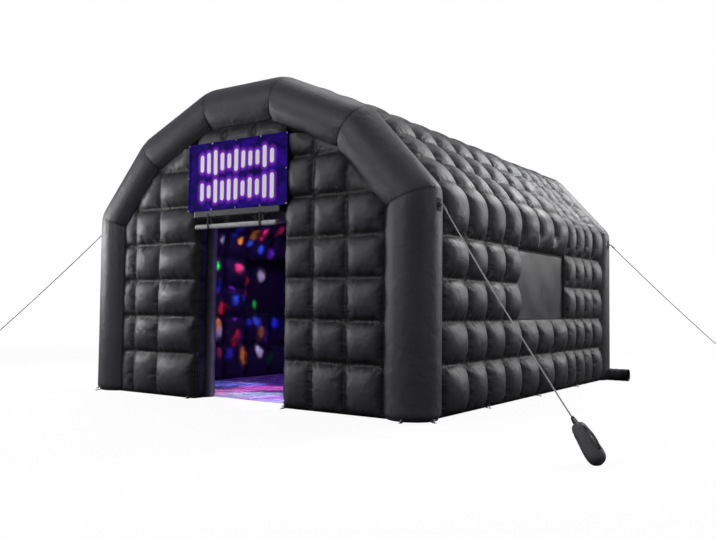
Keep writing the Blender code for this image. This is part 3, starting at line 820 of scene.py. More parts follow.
def add_light(name, kind, place, target, power, tint=(1.0, 1.0, 1.0), **settings):
    """A light that faces a point."""
    light = bpy.data.lights.new(name, kind)
    for key, value in {"energy": power, "color": tint, **settings}.items():
        setattr(light, key, value)
    item = bpy.data.objects.new(name, light)
    item.location = place
    item.rotation_euler = (Vector(target) - item.location).to_track_quat("-Z", "Y").to_euler()
    bpy.context.scene.collection.objects.link(item)


class TENT_OT_arches(bpy.types.Operator):
    """Two air-filled arches"""
    bl_idname = "tent.arches"
    bl_label = "Arches"

    def execute(self, context):
        shape, colours = groups("shape", "colours")
        fabric = coated_oxford("coated oxford, arches", colours.oxford)
        parts = ("left_leg", "left_lower_slope", "left_upper_slope", "crown", "right_upper_slope",
                 "right_lower_slope", "right_leg")
        for end, sign in ENDS:
            rings, flat, gaps = tube_points(shape, sign * arch_middle(shape)[1])
            item = ring_piece(f"{end}_arch_tube", rings, flat, fabric)
            store(item, "seam_gap", gaps)
            store(item, "seam_run", flat.sum(axis=-1))
            fit(item, "coated_fabric", *[f"{end}_arch_{part}" for part in parts])
        return {"FINISHED"}


# Share of a full pad's puff that the linings and the pads over the doorway have.
LINING_PUFF, HEAD_PUFF = 0.85, 0.9
# The doorway's rounded edges grow sharp over this length at its corners.
CORNER_FADE = 0.15


def wall_rows(quilt, top):
    """Heights of the row seams, from the ground up."""
    rows = [0.0, quilt.first_row]
    while rows[-1] + quilt.row_pitch < top:
        rows.append(rows[-1] + quilt.row_pitch)
    return rows


def end_wall_sizes(inside=False):
    """Bends, seam plane, distance of the junction from the arch, half the doorway, and the rows."""
    shape, quilt, door = groups("shape", "quilt", "entrance")
    level = shape.length / 2 - shape.inset - (shape.core if inside else 0.0)
    junction = math.sqrt(shape.tube_radius ** 2 - (level - arch_middle(shape)[1]) ** 2)
    rows = wall_rows(quilt, shape.crown_height)
    return arch_bends(shape), level, junction, door.door_width / 2, rows


def end_wall_skin(name, sign, inside, with_door, material, seed):
    """One face of a whole end wall, inside its arch."""
    shape, quilt, door = groups("shape", "quilt", "entrance")
    bends, level, junction, half, rows = end_wall_sizes(inside)
    edge = shape.width / 2 - 2 * shape.tube_radius
    right = [half / 3, half] + [half + (edge - half) * part / 3 for part in (1, 2)]
    right.append(arch_middle(shape)[0] - junction)
    seams_x = [-x for x in right[::-1]] + right
    stops_x = [-right[-1] - TUCK] + seams_x + [right[-1] + TUCK]
    top = float(bends[:, 1].max()) - junction + TUCK
    stops_z = sorted(set(rows + [door.door_height, top]))

    def place(x, z):
        facing = np.zeros((*x.shape, 3))
        facing[..., 1] = -sign if inside else sign
        return np.stack((x, np.full(x.shape, sign * level), z), axis=-1), facing

    def in_door(x, z, ease):
        return with_door & (np.abs(x) < half + ease) & (z < door.door_height + ease)

    def held(x, z):
        return (arch_distance(x, z, bends) < junction + GRIP) | in_door(x, z, NEAR)

    def cells(x, z):
        return (arch_distance(x, z, bends) > junction - TUCK) & ~in_door(x, z, 0.0)

    lifts = ([quilt.column_lift] * len(seams_x), [0.0] * len(rows))
    return quilted_skin(name, (stops_x, stops_z), (seams_x, rows), lifts, place, held, cells,
                        quilt.puff * (LINING_PUFF if inside else 1.0), material, seed, not inside)


def eased_corner(across, ease):
    """A corner between a reveal (below nought) and a wall face, rounded over the ease on both sides.

    Gives how far each point lies along the face, how far in from it, and how far it has turned to it.
    """
    part = np.clip((across + ease) / np.maximum(2 * ease, 1e-9), 0, 1)
    along = np.where(across > ease, across, ease * part ** 2)
    depth = np.where(across < -ease, -across, ease * (1 - part) ** 2)
    return along, depth, part


def jamb_wall_skin(name, sign, material, seed):
    """The front wall beside the doorway, whose pads turn the corner into the jamb."""
    shape, quilt, door = groups("shape", "quilt", "entrance")
    bends, level, junction, half, rows = end_wall_sizes()
    columns = [door.left_inner, door.left_outer] if sign < 0 else [door.right_inner, door.right_outer]
    columns.append(arch_middle(shape)[0] - junction)
    head = door.door_height
    seams_x = [half - shape.core / 2, half] + columns
    stops_x = sorted(seams_x + [columns[-1] + TUCK])
    rows = [row for row in rows if row < shape.shoulder_height]
    stops_z = sorted(rows + [head, shape.shoulder_height])

    def place(x, z):
        ease = door.jamb_ease * np.clip((head - z) / CORNER_FADE, 0, 1) ** 0.5
        along, depth, part = eased_corner(x - half, ease)
        facing = unit(np.stack((-sign * (1 - part), -part, 0 * part), axis=-1))
        return np.stack((sign * (half + along), depth - level, z), axis=-1), facing

    def held(x, z):
        over_head = (x < half + NEAR) & (z > head - NEAR)
        return (arch_distance(sign * x, z, bends) < junction + GRIP) | over_head

    def cells(x, z):
        return (arch_distance(sign * x, z, bends) > junction - TUCK) & ((x > half) | (z < head))

    lifts = ([0.0, 0.0] + [quilt.column_lift] * len(columns), [0.0] * len(rows))
    return quilted_skin(name, (stops_x, stops_z), (seams_x, rows), lifts, place, held, cells,
                        quilt.puff, material, seed)


def head_wall_skin(name, material, seed):
    """The front wall over the doorway, whose lowest pads turn in under the head."""
    shape, quilt, door = groups("shape", "quilt", "entrance")
    bends, level, junction, half, rows = end_wall_sizes()
    head = door.door_height
    seams_x = [-half, -half / 3, half / 3, half]
    rows = [head - shape.core / 2, head] + [row for row in rows if row > head]
    stops_z = sorted(rows + [float(bends[:, 1].max()) - junction + TUCK])

    def place(x, z):
        ease = door.jamb_ease * np.clip((half - np.abs(x)) / CORNER_FADE, 0, 1) ** 0.5
        along, depth, part = eased_corner(z - head, ease)
        facing = unit(np.stack((0 * part, -part, part - 1), axis=-1))
        return np.stack((x, depth - level, head + along), axis=-1), facing

    def held(x, z):
        return arch_distance(x, z, bends) < junction + GRIP

    def cells(x, z):
        return arch_distance(x, z, bends) > junction - TUCK

    lifts = ([quilt.column_lift] * len(seams_x), [0.0] * len(rows))
    return quilted_skin(name, (seams_x, stops_z), (seams_x, rows), lifts, place, held, cells,
                        quilt.puff * HEAD_PUFF, material, seed)


class TENT_OT_end_walls(bpy.types.Operator):
    """Quilted walls inside the front and rear arches"""
    bl_idname = "tent.end_walls"
    bl_label = "End walls"

    def execute(self, context):
        colours, = groups("colours")
        fabric = coated_oxford("coated oxford, end walls", colours.oxford)
        for (side, sign), seed in zip(SIDES, (10, 11)):
            item = jamb_wall_skin(f"front_wall_{side}_skin", sign, fabric, seed)
            fit(item, "coated_fabric", f"front_wall_{side}")
        fit(head_wall_skin("front_wall_head_skin", fabric, 9), "coated_fabric",
            "front_wall_over_door")
        rear = end_wall_skin("rear_wall_skin", 1, False, False, fabric, 12)
        fit(rear, "coated_fabric", "rear_wall")
        for end, sign in ENDS:
            item = end_wall_skin(f"{end}_wall_lining", sign, True, sign < 0, fabric, 13 + sign)
            fit(item, "coated_fabric")
        # Painted light: the inner door roll is the same oxford made paler, for the light on the inner
        # jamb.
        painted_light_roll_fabric = coated_oxford("coated oxford, inner door roll, paler as painted light", colours.roll)
        fit(door_reveal(painted_light_roll_fabric), "coated_fabric")
        return {"FINISHED"}


def turned_in(name, path, inward, depths, bulge, axes, flat, material):
    """A strip of a wall's edge: a path carried in through the wall, and swollen into the opening.

    The axes are the path's two and the one that runs through the wall.
    """
    points = np.zeros((len(path), len(depths), 3))
    facing = np.zeros(points.shape)
    for part, axis in enumerate(axes[:2]):
        facing[..., axis] = inward[:, None, part]
        points[..., axis] = path[:, None, part] + inward[:, None, part] * bulge
    points[..., axes[2]] = depths
    return sew_grid(name, points, flat, facing, material)[0]


def door_reveal(material):
    """The inner roll that runs up both jambs and over the head, from mid-wall to the lining."""
    shape, door = groups("shape", "entrance")
    half, head = door.door_width / 2, door.door_height
    corner = 0.03
    path = [(-half, z) for z in np.linspace(0, head - corner, 60)]
    path += [(-half + corner * (1 - math.cos(a)), head - corner + corner * math.sin(a))
             for a in np.linspace(0, math.pi / 2, 7)[1:]]
    path += [(x, head) for x in np.linspace(-half + corner, half - corner, 50)[1:]]
    path = np.array(path + [(-x, z) for x, z in path[::-1] if x < -half + corner])
    middle = -shape.length / 2 + shape.inset + shape.core / 2
    across = np.linspace(0, 1, 17)
    slope = unit(np.gradient(path, axis=0))
    inward = np.stack((slope[:, 1], -slope[:, 0]), axis=1)
    # The roll stands 45 mm off its seams, a little more and less in turn up the jambs.
    wave = 0.045 * (1 + 0.10 * np.sin(path[:, 1] * 14))
    bulge = wave[:, None] * np.sin(np.pi * across) ** BOW_POWER
    flat = plane(np.arange(len(path)) * 0.035, across * shape.core)
    item = turned_in("door_reveal", path, inward, middle + shape.core / 2 * across, bulge, (0, 2, 1),
                     flat, material)
    gap = shape.core / 2 * np.minimum(across, 1 - across)
    store(item, "seam_gap", np.broadcast_to(gap, flat.shape[:2]))
    store(item, "seam_run", flat[..., 0])
    return item


# No row seam of a side wall lies above this.
WALL_TOP = 1.9
# The lining's eave is shorter round than the outside's, so its roof rows start this much sooner.
LINING_START = 0.12
# The shell's corners are eased over this length.
SHELL_EASE = 0.20
# The shell runs on this far past its first and last seams.
SHELL_TUCK = 0.024
# The pads over the window are this much flatter at a height above its head, and for so far.
HEADER_DIP, HEADER_SPOT, HEADER_WIDE = 0.3, 0.12, 0.14
# A row seam this near to where the roof starts is the eave's.
EAVE_NEAR = 0.2
# How far the middle of a roof's seam that runs up it rises.
ROOF_COLUMN_LIFT = 0.006


def column_places(shape, quilt, window, meet):
    """Column seams of the sides and roof, between the lines where they meet the arches."""
    end = shape.length / 2 - 2 * shape.tube_radius
    stops = (-end, window.front, window.rear, end)
    places = [-meet]
    for start, finish, parts in zip(stops, stops[1:], (quilt.columns_ahead, quilt.columns_across,
                                                       quilt.columns_behind)):
        places += [start + (finish - start) * step / parts for step in range(1, parts + 1)]
    return places[:-1] + [meet]


def shell_outline(shape, distance):
    """The arch's bends moved out by a distance, and their length from ground to ground."""
    bends = offset_bends(arch_bends(shape), distance)
    return bends, float(lengths_along(bends)[-1])


def shell_rows(shape, quilt, inside):
    """Row seams along the shell's outline, from the left foot to the right foot."""
    total = shell_outline(shape, shape.outset - (shape.core if inside else 0.0))[1]
    wall = wall_rows(quilt, WALL_TOP)
    start = quilt.roof_start - (LINING_START if inside else 0.0)
    roof = list(np.linspace(start, total - start, quilt.roof_rows + 1))
    return wall + roof + [total - s for s in wall[::-1]]


def shell_skin(name, span, inside, material, seed):
    """One face of the sides or roof between two lengths along its outline."""
    shape, quilt, window = groups("shape", "quilt", "window")
    distance = shape.outset - (shape.core if inside else 0.0)
    bends, total = shell_outline(shape, distance)
    run, points, normals = rounded_outline(bends, SHELL_EASE)
    meet = arch_middle(shape)[1] - math.sqrt(shape.tube_radius ** 2 - distance ** 2)
    seams_y = column_places(shape, quilt, window, meet)
    stops_y = [-meet - SHELL_TUCK] + seams_y + [meet + SHELL_TUCK]
    low, high = (0.0, total) if inside else span
    seams_s = [s for s in shell_rows(shape, quilt, inside) if low - NEAR <= s <= high + NEAR]
    header = window.head + window.header
    heads = [s for s in (header, total - header) if low < s < high and not inside]

    def place(s, y):
        x, z, out_x, out_z = (np.interp(s, run, row) for row in (*points.T, *normals.T))
        facing = np.stack((out_x, 0 * s, out_z), axis=-1)
        return np.stack((x, y, z), axis=-1), -facing if inside else facing

    def in_window(s, y, ease):
        height = np.minimum(s, total - s)
        return ((y > window.front - ease) & (y < window.rear + ease)
                & (height > window.sill - ease) & (height < window.head + ease))

    def held(s, y):
        return (np.abs(y) > meet - GRIP) | in_window(s, y, NEAR)

    def loose(s, y):
        height = np.minimum(s, total - s)
        across = (y > window.front + NEAR) & (y < window.rear - NEAR)
        return across & (height > window.head) & (height < header - NEAR) & (not inside)

    def cells(s, y):
        return ~in_window(s, y, 0.0)

    reach = [min(s, total - s) - quilt.roof_start for s in seams_s]
    whole_roof = min(reach) > -EAVE_NEAR
    row_lifts = [quilt.eave_lift if abs(part) < EAVE_NEAR else quilt.row_lift * (part > 0)
                 for part in reach]
    lifts = (row_lifts, [ROOF_COLUMN_LIFT if whole_roof else quilt.column_lift] * len(seams_y))
    puff = LINING_PUFF * quilt.puff if inside else (quilt.roof_puff if whole_roof else quilt.puff)

    def fullness(s, y):
        above = np.minimum(s, total - s) - window.head - HEADER_SPOT
        over_window = (y > window.front) & (y < window.rear) & (not inside)
        return puff * (1 - HEADER_DIP * over_window * np.exp(-(above / HEADER_WIDE) ** 2))

    return quilted_skin(name, (sorted(seams_s + heads), stops_y), (seams_s, seams_y), lifts, place,
                        held, cells, fullness, material, seed, not inside, loose)


class TENT_OT_shell(bpy.types.Operator):
    """Quilted side walls and roof between the arches"""
    bl_idname = "tent.shell"
    bl_label = "Sides and roof"

    def execute(self, context):
        shape, quilt, colours = groups("shape", "quilt", "colours")
        fabric = coated_oxford("coated oxford, shell", colours.oxford)
        _, total = shell_outline(shape, shape.outset)
        start, middle, end = quilt.roof_start, total / 2, total - quilt.roof_start
        for side, span, seed in (("left", (0.0, start), 21), ("right", (end, total), 22)):
            item = shell_skin(f"{side}_wall_skin", span, False, fabric, seed)
            fit(item, "coated_fabric", *[f"{side}_wall_{part}" for part in
                                         ("front", "rear", "sill", "head")])
        fit(shell_skin("roof_left_skin", (start, middle), False, fabric, 23),
            "coated_fabric", "roof_left_lower", "roof_left_upper", "roof_ridge")
        fit(shell_skin("roof_right_skin", (middle, end), False, fabric, 24),
            "coated_fabric", "roof_right_lower", "roof_right_upper")
        fit(shell_skin("shell_lining", (0.0, total), True, fabric, 25), "coated_fabric")
        return {"FINISHED"}


class TENT_OT_inflate(bpy.types.Operator):
    """Blows up every quilted skin as cloth, all at once, and keeps the result"""
    bl_idname = "tent.inflate"
    bl_label = "Inflate"

    def execute(self, context):
        if not QUILTS:
            raise RuntimeError("make the walls and the shell before they are inflated")
        simulate(context.scene)
        for item, base, facing, _ in QUILTS:
            press_behind_sign(item, base, facing)
            subdivide = item.modifiers.new("finer cloth", "SUBSURF")
            subdivide.levels = subdivide.render_levels = 1
            subdivide.boundary_smooth = "PRESERVE_CORNERS"
        return {"FINISHED"}


# The cloth is light and stiff, and grows a little, so that it wrinkles along its seams.
CLOTH = {"quality": 5, "mass": 0.3, "tension_stiffness": 40, "compression_stiffness": 40,
         "shear_stiffness": 20, "bending_stiffness": 0.3, "vertex_group_mass": "held",
         "pin_stiffness": 50, "use_pressure": True, "uniform_pressure_force": 6,
         "shrink_min": -0.03, "shrink_max": -0.03, "air_damping": 1, "tension_damping": 5,
         "compression_damping": 5}
# The simulation's length in frames, how far a loose point starts from its place at random, and
# how far the cloth may move it.
FRAMES, SHAKE, MOVE_LIMIT = 15, 0.0008, 0.045


def simulate(scene):
    """Runs the cloth of all skins together and applies it, with the movement capped."""
    starts = []
    for item, _, _, seed in QUILTS:
        start = read_points(item.data)
        loose = np.random.default_rng(seed).normal(0, SHAKE, start.shape)
        pinned = np.array([bool(vertex.groups) for vertex in item.data.vertices])
        write_points(item.data, start + loose * ~pinned[:, None])
        starts.append(start)
        cloth = item.modifiers.new("cloth", "CLOTH")
        cloth.point_cache.frame_start, cloth.point_cache.frame_end = 1, FRAMES
        cloth.collision_settings.use_collision = False
        for name, value in CLOTH.items():
            setattr(cloth.settings, name, value)
        cloth.settings.effector_weights.gravity = 0
    for number in range(1, FRAMES + 1):
        scene.frame_set(number)
    graph = bpy.context.evaluated_depsgraph_get()
    for (item, _, _, _), start in zip(QUILTS, starts):
        moved = read_points(item.evaluated_get(graph).data) - start
        far = np.linalg.norm(moved, axis=1, keepdims=True)
        moved *= np.minimum(1, MOVE_LIMIT / np.maximum(far, 1e-9))
        item.modifiers.clear()
        write_points(item.data, start + moved)
    scene.frame_set(1)


def read_points(mesh):
    """Vertex places of a mesh."""
    points = np.zeros(len(mesh.vertices) * 3, np.float32)
    mesh.vertices.foreach_get("co", points)
    return points.reshape(-1, 3).astype(float)


def write_points(mesh, points):
    """Moves the vertices of a mesh."""
    mesh.vertices.foreach_set("co", points.astype(np.float32).ravel())
    mesh.update()


# How far the pads behind the banner may stand off their seams, and the edge of that, at the sides
# and top. Below, it reaches down behind the flap.
PRESSED, PRESS_EDGE, PRESS_BELOW, PRESS_FADE = 0.072, 0.05, 0.13, 0.04


def press_behind_sign(item, base, facing):
    """Flattens the pads that the tight banner lies on."""
    if not item.name.startswith("front_wall"):
        return
    door, = groups("entrance")
    points = read_points(item.data)
    x, z = np.abs(points[:, 0]), points[:, 2]
    near = [np.clip((door.sign_width / 2 + PRESS_EDGE - x) / PRESS_EDGE, 0, 1),
            np.clip((z - door.sign_bottom + PRESS_BELOW) / PRESS_FADE, 0, 1),
            np.clip((door.sign_bottom + door.sign_height + PRESS_EDGE - z) / PRESS_EDGE, 0, 1)]
    over = np.maximum(np.sum((points - base) * facing, axis=1) - PRESSED, 0)
    write_points(item.data, points - facing * (over * near[0] * (near[1] * near[2]))[:, None])


class TENT_OT_windows(bpy.types.Operator):
    """Tinted sheet in each side wall"""
    bl_idname = "tent.windows"
    bl_label = "Windows"

    def execute(self, context):
        shape, window, colours = groups("shape", "window", "colours")
        film = vinyl_film("tinted vinyl sheet, calendered", colours.film)
        webbing = woven_band("polyester webbing, window binding", colours.webbing)
        frame_fabric = coated_oxford("coated oxford, window frames", colours.oxford, False)
        x = arch_middle(shape)[0] + shape.outset - window.recess
        lap = 0.02
        wide, tall = window.rear - window.front, window.head - window.sill
        flat = plane(np.linspace(window.front - lap, window.rear + lap, 90),
                     np.linspace(window.sill - lap, window.head + lap, 56))
        y, z = flat[..., 0], flat[..., 1]
        inner = [np.clip(1 - (np.abs(value - centre) / size * 2) ** 6, 0, 1) for value, centre, size in
                 ((y, (window.front + window.rear) / 2, wide), (z, (window.sill + window.head) / 2, tall))]
        # Slow waves of a few millimetres, that die out at the frame.
        wave = 0.004 * np.sin(5.1 * y + 0.7) * np.sin(2.3 * z) + 0.0025 * np.sin(9 * y + 7 * z)
        for side, sign in SIDES:
            points = np.stack((sign * (x + wave * inner[0] * inner[1]), y, z), axis=-1)
            item, _ = sew_grid(f"{side}_window_sheet", points, flat, (sign, 0, 0), film)
            fit(item, "window_sheet", f"{side}_window_pane")
            fit(window_reveal(f"{side}_window_reveal", sign, frame_fabric), "coated_fabric")
            fit(window_binding(f"{side}_window_binding", sign, x + 0.006, webbing), "webbing")
        return {"FINISHED"}


# How far the binding laps over the wall, the radius of its corners, and its thickness.
BINDING_LAP, BINDING_CORNER, BINDING_THICK = 0.008, 0.03, 0.004


def window_binding(name, sign, x, material):
    """A webbing strap sewn all round the sheet, with rounded corners."""
    window, = groups("window")
    inset, corner = window.binding / 2 - BINDING_LAP, BINDING_CORNER
    low, high = (window.front + inset, window.sill + inset), (window.rear - inset, window.head - inset)
    path, across = [], []
    for turn, (y, z) in enumerate(((low[0], low[1]), (high[0], low[1]), (high[0], high[1]),
                                   (low[0], high[1]))):
        centre = (y + corner * (1 if turn in (0, 3) else -1), z + corner * (1 if turn < 2 else -1))
        for angle in np.linspace(0, math.pi / 2, 7) + math.pi * (1 + turn / 2):
            across.append(np.array((0.0, math.cos(angle), math.sin(angle))))
            path.append(np.array((sign * x, *centre)) + corner * across[-1])
    return strap_piece(name, path + path[:1], across + across[:1], window.binding, material, BINDING_THICK)


def window_reveal(name, sign, material):
    """The wall's edge behind the window sheet, from the outer seams to the lining."""
    shape, window = groups("shape", "window")
    outer = arch_middle(shape)[0] + shape.outset
    corners = [(y, z) for z, ys in ((window.sill, (window.front, window.rear)),
                                    (window.head, (window.rear, window.front))) for y in ys]
    path, inward = [], []
    for start, end in zip(corners, corners[1:] + corners[:1]):
        run = np.array(end) - np.array(start)
        for part in np.linspace(0, 1, 25)[:-1]:
            path.append(np.array(start) + run * part)
            inward.append(np.array((-run[1], run[0])) / np.linalg.norm(run))
    path, inward = np.array(path + path[:1]), np.array(inward + inward[:1])
    depth = np.linspace(0, 1, 9)
    return turned_in(name, path, inward, sign * (outer - shape.core * depth),
                     0.012 * np.sin(np.pi * depth), (1, 2, 0),
                     plane(np.arange(len(path)) * 0.05, depth * shape.core), material)


# How far the banner hangs before the seams of the front wall, and its hem before the banner.
SIGN_STAND, HEM_STAND = 0.078, 0.0075
# Thickness of a thin sheet and of its hem, and the size of an eyelet and of its rim.
SHEET_THICK, HEM_THICK, EYELET_RADIUS, EYELET_RIM = 0.0015, 0.002, 0.0075, 0.0028
# Pieces that would touch keep this far apart.
APART = 0.0003


class TENT_OT_entrance(bpy.types.Operator):
    """Printed banner, flap and rolled curtain over the doorway"""
    bl_idname = "tent.entrance"
    bl_label = "Entrance"

    def execute(self, context):
        shape, door, colours = groups("shape", "entrance", "colours")
        face = -shape.length / 2 + shape.inset - SIGN_STAND
        printed = printed_banner("dye-printed satin banner", colours, door.sign_width, door.sign_height)
        webbing = woven_band("polyester webbing, entrance", colours.webbing)
        steel = steel_finish("zinc-plated steel, eyelets", colours.steel, 0.35)
        banner = hung_sheet("sign_banner_sheet", door.sign_width, door.sign_bottom, door.sign_height,
                            face, printed, 80, 44)
        fit(banner, "banner_print", "sign_banner")
        trim = banner_trim(face, printed, steel)
        fabric = coated_oxford("coated oxford, flap", colours.oxford, False)
        low = door.sign_bottom - APART - door.flap_height
        flap = hung_sheet("curtain_flap_sheet", door.flap_width, low, door.flap_height, face - 0.002,
                          fabric, 90, 8)
        fit(flap, "coated_fabric", "curtain_flap")
        # Painted highlight: the curtain fabric is pale grey to stand for the light on the roll.
        curtain = plain_fabric("brushed curtain fabric, pale as painted highlight", colours.curtain, 0.7)
        fit(curtain_roll(curtain), "curtain_fabric", "rolled_curtain")
        for side, sign in SIDES:
            fit(curtain_tie(f"curtain_{side}_strap", sign * door.tie_place, webbing), "webbing",
                f"curtain_{side}_tie")
        return {"FINISHED"}


def banner_trim(face, cloth, steel):
    """The banner's hem, a folded edge all round, and the eyelets through it."""
    door, = groups("entrance")
    half, hem = door.sign_width / 2 - door.hem / 2, door.hem / 2
    low, high = door.sign_bottom + hem, door.sign_bottom + door.sign_height - hem
    y = face - HEM_STAND
    corners = [(-half, low), (half, low), (half, high), (-half, high), (-half, low)]
    trim = []
    for number, (start, end) in enumerate(zip(corners, corners[1:])):
        parts = np.linspace(0, 1, 40)[:, None]
        run = np.array(start) * (1 - parts) + np.array(end) * parts
        # The hems lap at the corners, each a little in front of the last.
        path = np.stack((run[:, 0], np.full(40, y + 0.0002 * number), run[:, 1]), axis=1)
        across = (0, 0, 1) if number % 2 == 0 else (1, 0, 0)
        trim.append(fit(strap_piece(f"banner_hem_{number}", path, across, door.hem, cloth, HEM_THICK),
                        "banner_print"))
    places = [(x, z) for z in (low, high) for x in np.linspace(-half, half, 5)]
    places += [(x, (low + high) / 2) for x in (-half, half)]
    for number, (x, z) in enumerate(places):
        trim.append(fit(eyelet(f"banner_eyelet_{number}", (x, y - HEM_THICK, z), (0, 1, 0),
                               EYELET_RADIUS, EYELET_RIM, steel), "banner_print"))
    return trim


def hung_sheet(name, wide, low, tall, y, material, across, up):
    """A thin sheet on the front wall, with soft waves, and its thickness behind the side that shows."""
    flat = plane(np.linspace(-wide / 2, wide / 2, across), np.linspace(low, low + tall, up))
    x, z = flat[..., 0], flat[..., 1]
    ripple = 0.006 * (0.5 + 0.5 * np.sin(6.7 * x + 0.9) * np.cos(5.3 * z))
    item, _ = sew_grid(name, np.stack((x, y - ripple, z), axis=-1), flat - (-wide / 2, low), (0, -1, 0),
                       material)
    return solid_sheet(item, SHEET_THICK)


def curtain_middle():
    """The line that the rolled curtain turns about, as its place in Y and Z."""
    low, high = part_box("rolled_curtain")
    return (low.y + high.y) / 2, (low.z + high.z) / 2


def curtain_tie(name, x, material):
    """A webbing strap that hangs from behind the flap, round the rolled curtain."""
    door, = groups("entrance")
    y, z = curtain_middle()
    reach = door.curtain_radius + 0.003
    top = door.sign_bottom - door.flap_height + 0.03
    path = [(x, y - reach, h) for h in np.linspace(top, z, 8)]
    path += arc(Vector((x, y, z)), Vector((0, -reach, 0)), Vector((0, 0, -reach)), math.pi, 17)[1:]
    path += [(x, y + reach - 0.012 * (h - z) / (top - z), h) for h in np.linspace(z, top, 8)[1:]]
    return strap_piece(name, path, (1, 0, 0), 0.03, material)


def ring_across(x, y, z, size, angle):
    """A ring of points about a line that runs along X."""
    return np.stack((np.full(angle.shape, x), y + size * np.cos(angle), z + size * np.sin(angle)), axis=1)


def dip(value, width):
    """One at nought, and nearly nought beyond the width."""
    return math.exp(-(value / width) ** 2)


def curtain_roll(material):
    """The curtain, rolled tight with its loose edge in front, and pinched by two straps."""
    door, = groups("entrance")
    radius = door.curtain_radius
    along = np.linspace(-door.curtain_length / 2, door.curtain_length / 2, 121)
    angle = turns(48)
    rings = []
    for x in along:
        pinch = sum(0.12 * dip(x - tie, 0.03) for tie in (-door.tie_place, door.tie_place))
        lip = 0.07 * ((angle + 0.5 * math.sin(3 * x)) % math.tau) / math.tau
        fold = 0.018 * np.sin(4 * angle + 11 * x) * math.sin(5 * x + 1)
        end = 0.10 * dip(door.curtain_length / 2 - abs(x), 0.012)
        rings.append(ring_across(x, *curtain_middle(), radius * (0.93 - pinch + lip + fold - end), angle))
    return ring_piece("curtain_roll", np.array(rings), plane(along, angle * radius), material)


class TENT_OT_inside(bpy.types.Operator):
    """Groundsheet and party lights"""
    bl_idname = "tent.inside"
    bl_label = "Inside"

    def execute(self, context):
        shape, colours = groups("shape", "colours")
        low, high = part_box("floor_sheet")
        ground = coated_groundsheet("coated polyethylene groundsheet", colours.ground)
        # The sheet runs on under the feet of the walls.
        spare, wide = 0.06, 0.15
        flat = plane(np.linspace(low.x - wide, high.x + wide, 100),
                     np.linspace(low.y - spare, high.y + spare, 130))
        x, y = flat[..., 0], flat[..., 1]
        lift = 0.003 + 0.0015 * np.sin(7 * x + 2 * y) * np.sin(5 * y - x)
        item, _ = sew_grid("groundsheet", np.stack((x, y, lift), axis=-1), flat, (0, 0, 1), ground)
        fit(item, "groundsheet", "floor_sheet")
        party_lights(arch_middle(shape)[0] + shape.outset - shape.core)
        return {"FINISHED"}


PARTY_COLOURS = ("#2838ff", "#ff2030", "#8a30ff", "#ff8a20", "#20d048", "#ff3080", "#e0d0ff", "#3058ff")
FLOOR_SPOTS = (("#8090ff", -1.45, -1.45), ("#ff70d8", -0.80, -1.60), ("#ffa0d0", -0.95, -2.35),
               ("#c8e0ff", -0.40, -2.30), ("#e080ff", 0.05, -2.55), ("#a0d0ff", 0.35, -2.75))
# Where the narrow lights hang, under the ridge, and their watts on the wall and on the floor.
LAMP_PLACE, WALL_WATTS, FLOOR_WATTS = (0.2, -0.5, 2.75), 3000, 620
# A wall light's cone in degrees and its share of the watts, from least to most, and a floor
# light's cone.
WALL_CONE, WALL_SHARE, FLOOR_CONE = (2.4, 4.4), (0.25, 1.2), 15.0


def party_lights(wall):
    """Narrow coloured lights in the roof, that dot the left lining and the groundsheet."""
    random = np.random.default_rng(12)
    places = [(y, z) for z in np.linspace(2.25, 0.35, 8) for y in np.linspace(-1.22, -0.04, 5)]
    order = random.permutation(len(places)) % len(PARTY_COLOURS)
    for number, (y, z) in enumerate(places):
        y, z = np.array((y, z)) + random.uniform(-0.10, 0.10, 2)
        code = PARTY_COLOURS[order[number]]
        cone, power = random.uniform(*WALL_CONE), WALL_WATTS * random.uniform(*WALL_SHARE)
        spot_light(f"party_wall_{number}", (-wall + 0.02, y, z), code, cone, power)
    for number, (code, x, y) in enumerate(FLOOR_SPOTS):
        spot_light(f"party_floor_{number}", (x, y, 0), code, FLOOR_CONE, FLOOR_WATTS)
    add_light("party_glow", "AREA", (0.0, -0.4, 2.75), (-0.4, -0.8, 0), 34, linear("#8c5cff"), size=1.6)


def spot_light(name, target, code, cone, power):
    """One narrow coloured light under the ridge."""
    add_light(name, "SPOT", LAMP_PLACE, target, power, linear(code), spot_size=math.radians(cone),
              spot_blend=0.7, shadow_soft_size=0.02)


# Spaces between the sleeve's rings, its share of its full radius, and how far its strap and its
# hem lie from the mouth.
SLEEVE_PARTS, SLEEVE_SLACK, SLEEVE_STRAP, SLEEVE_HEM = 100, 0.96, 0.075, 0.03


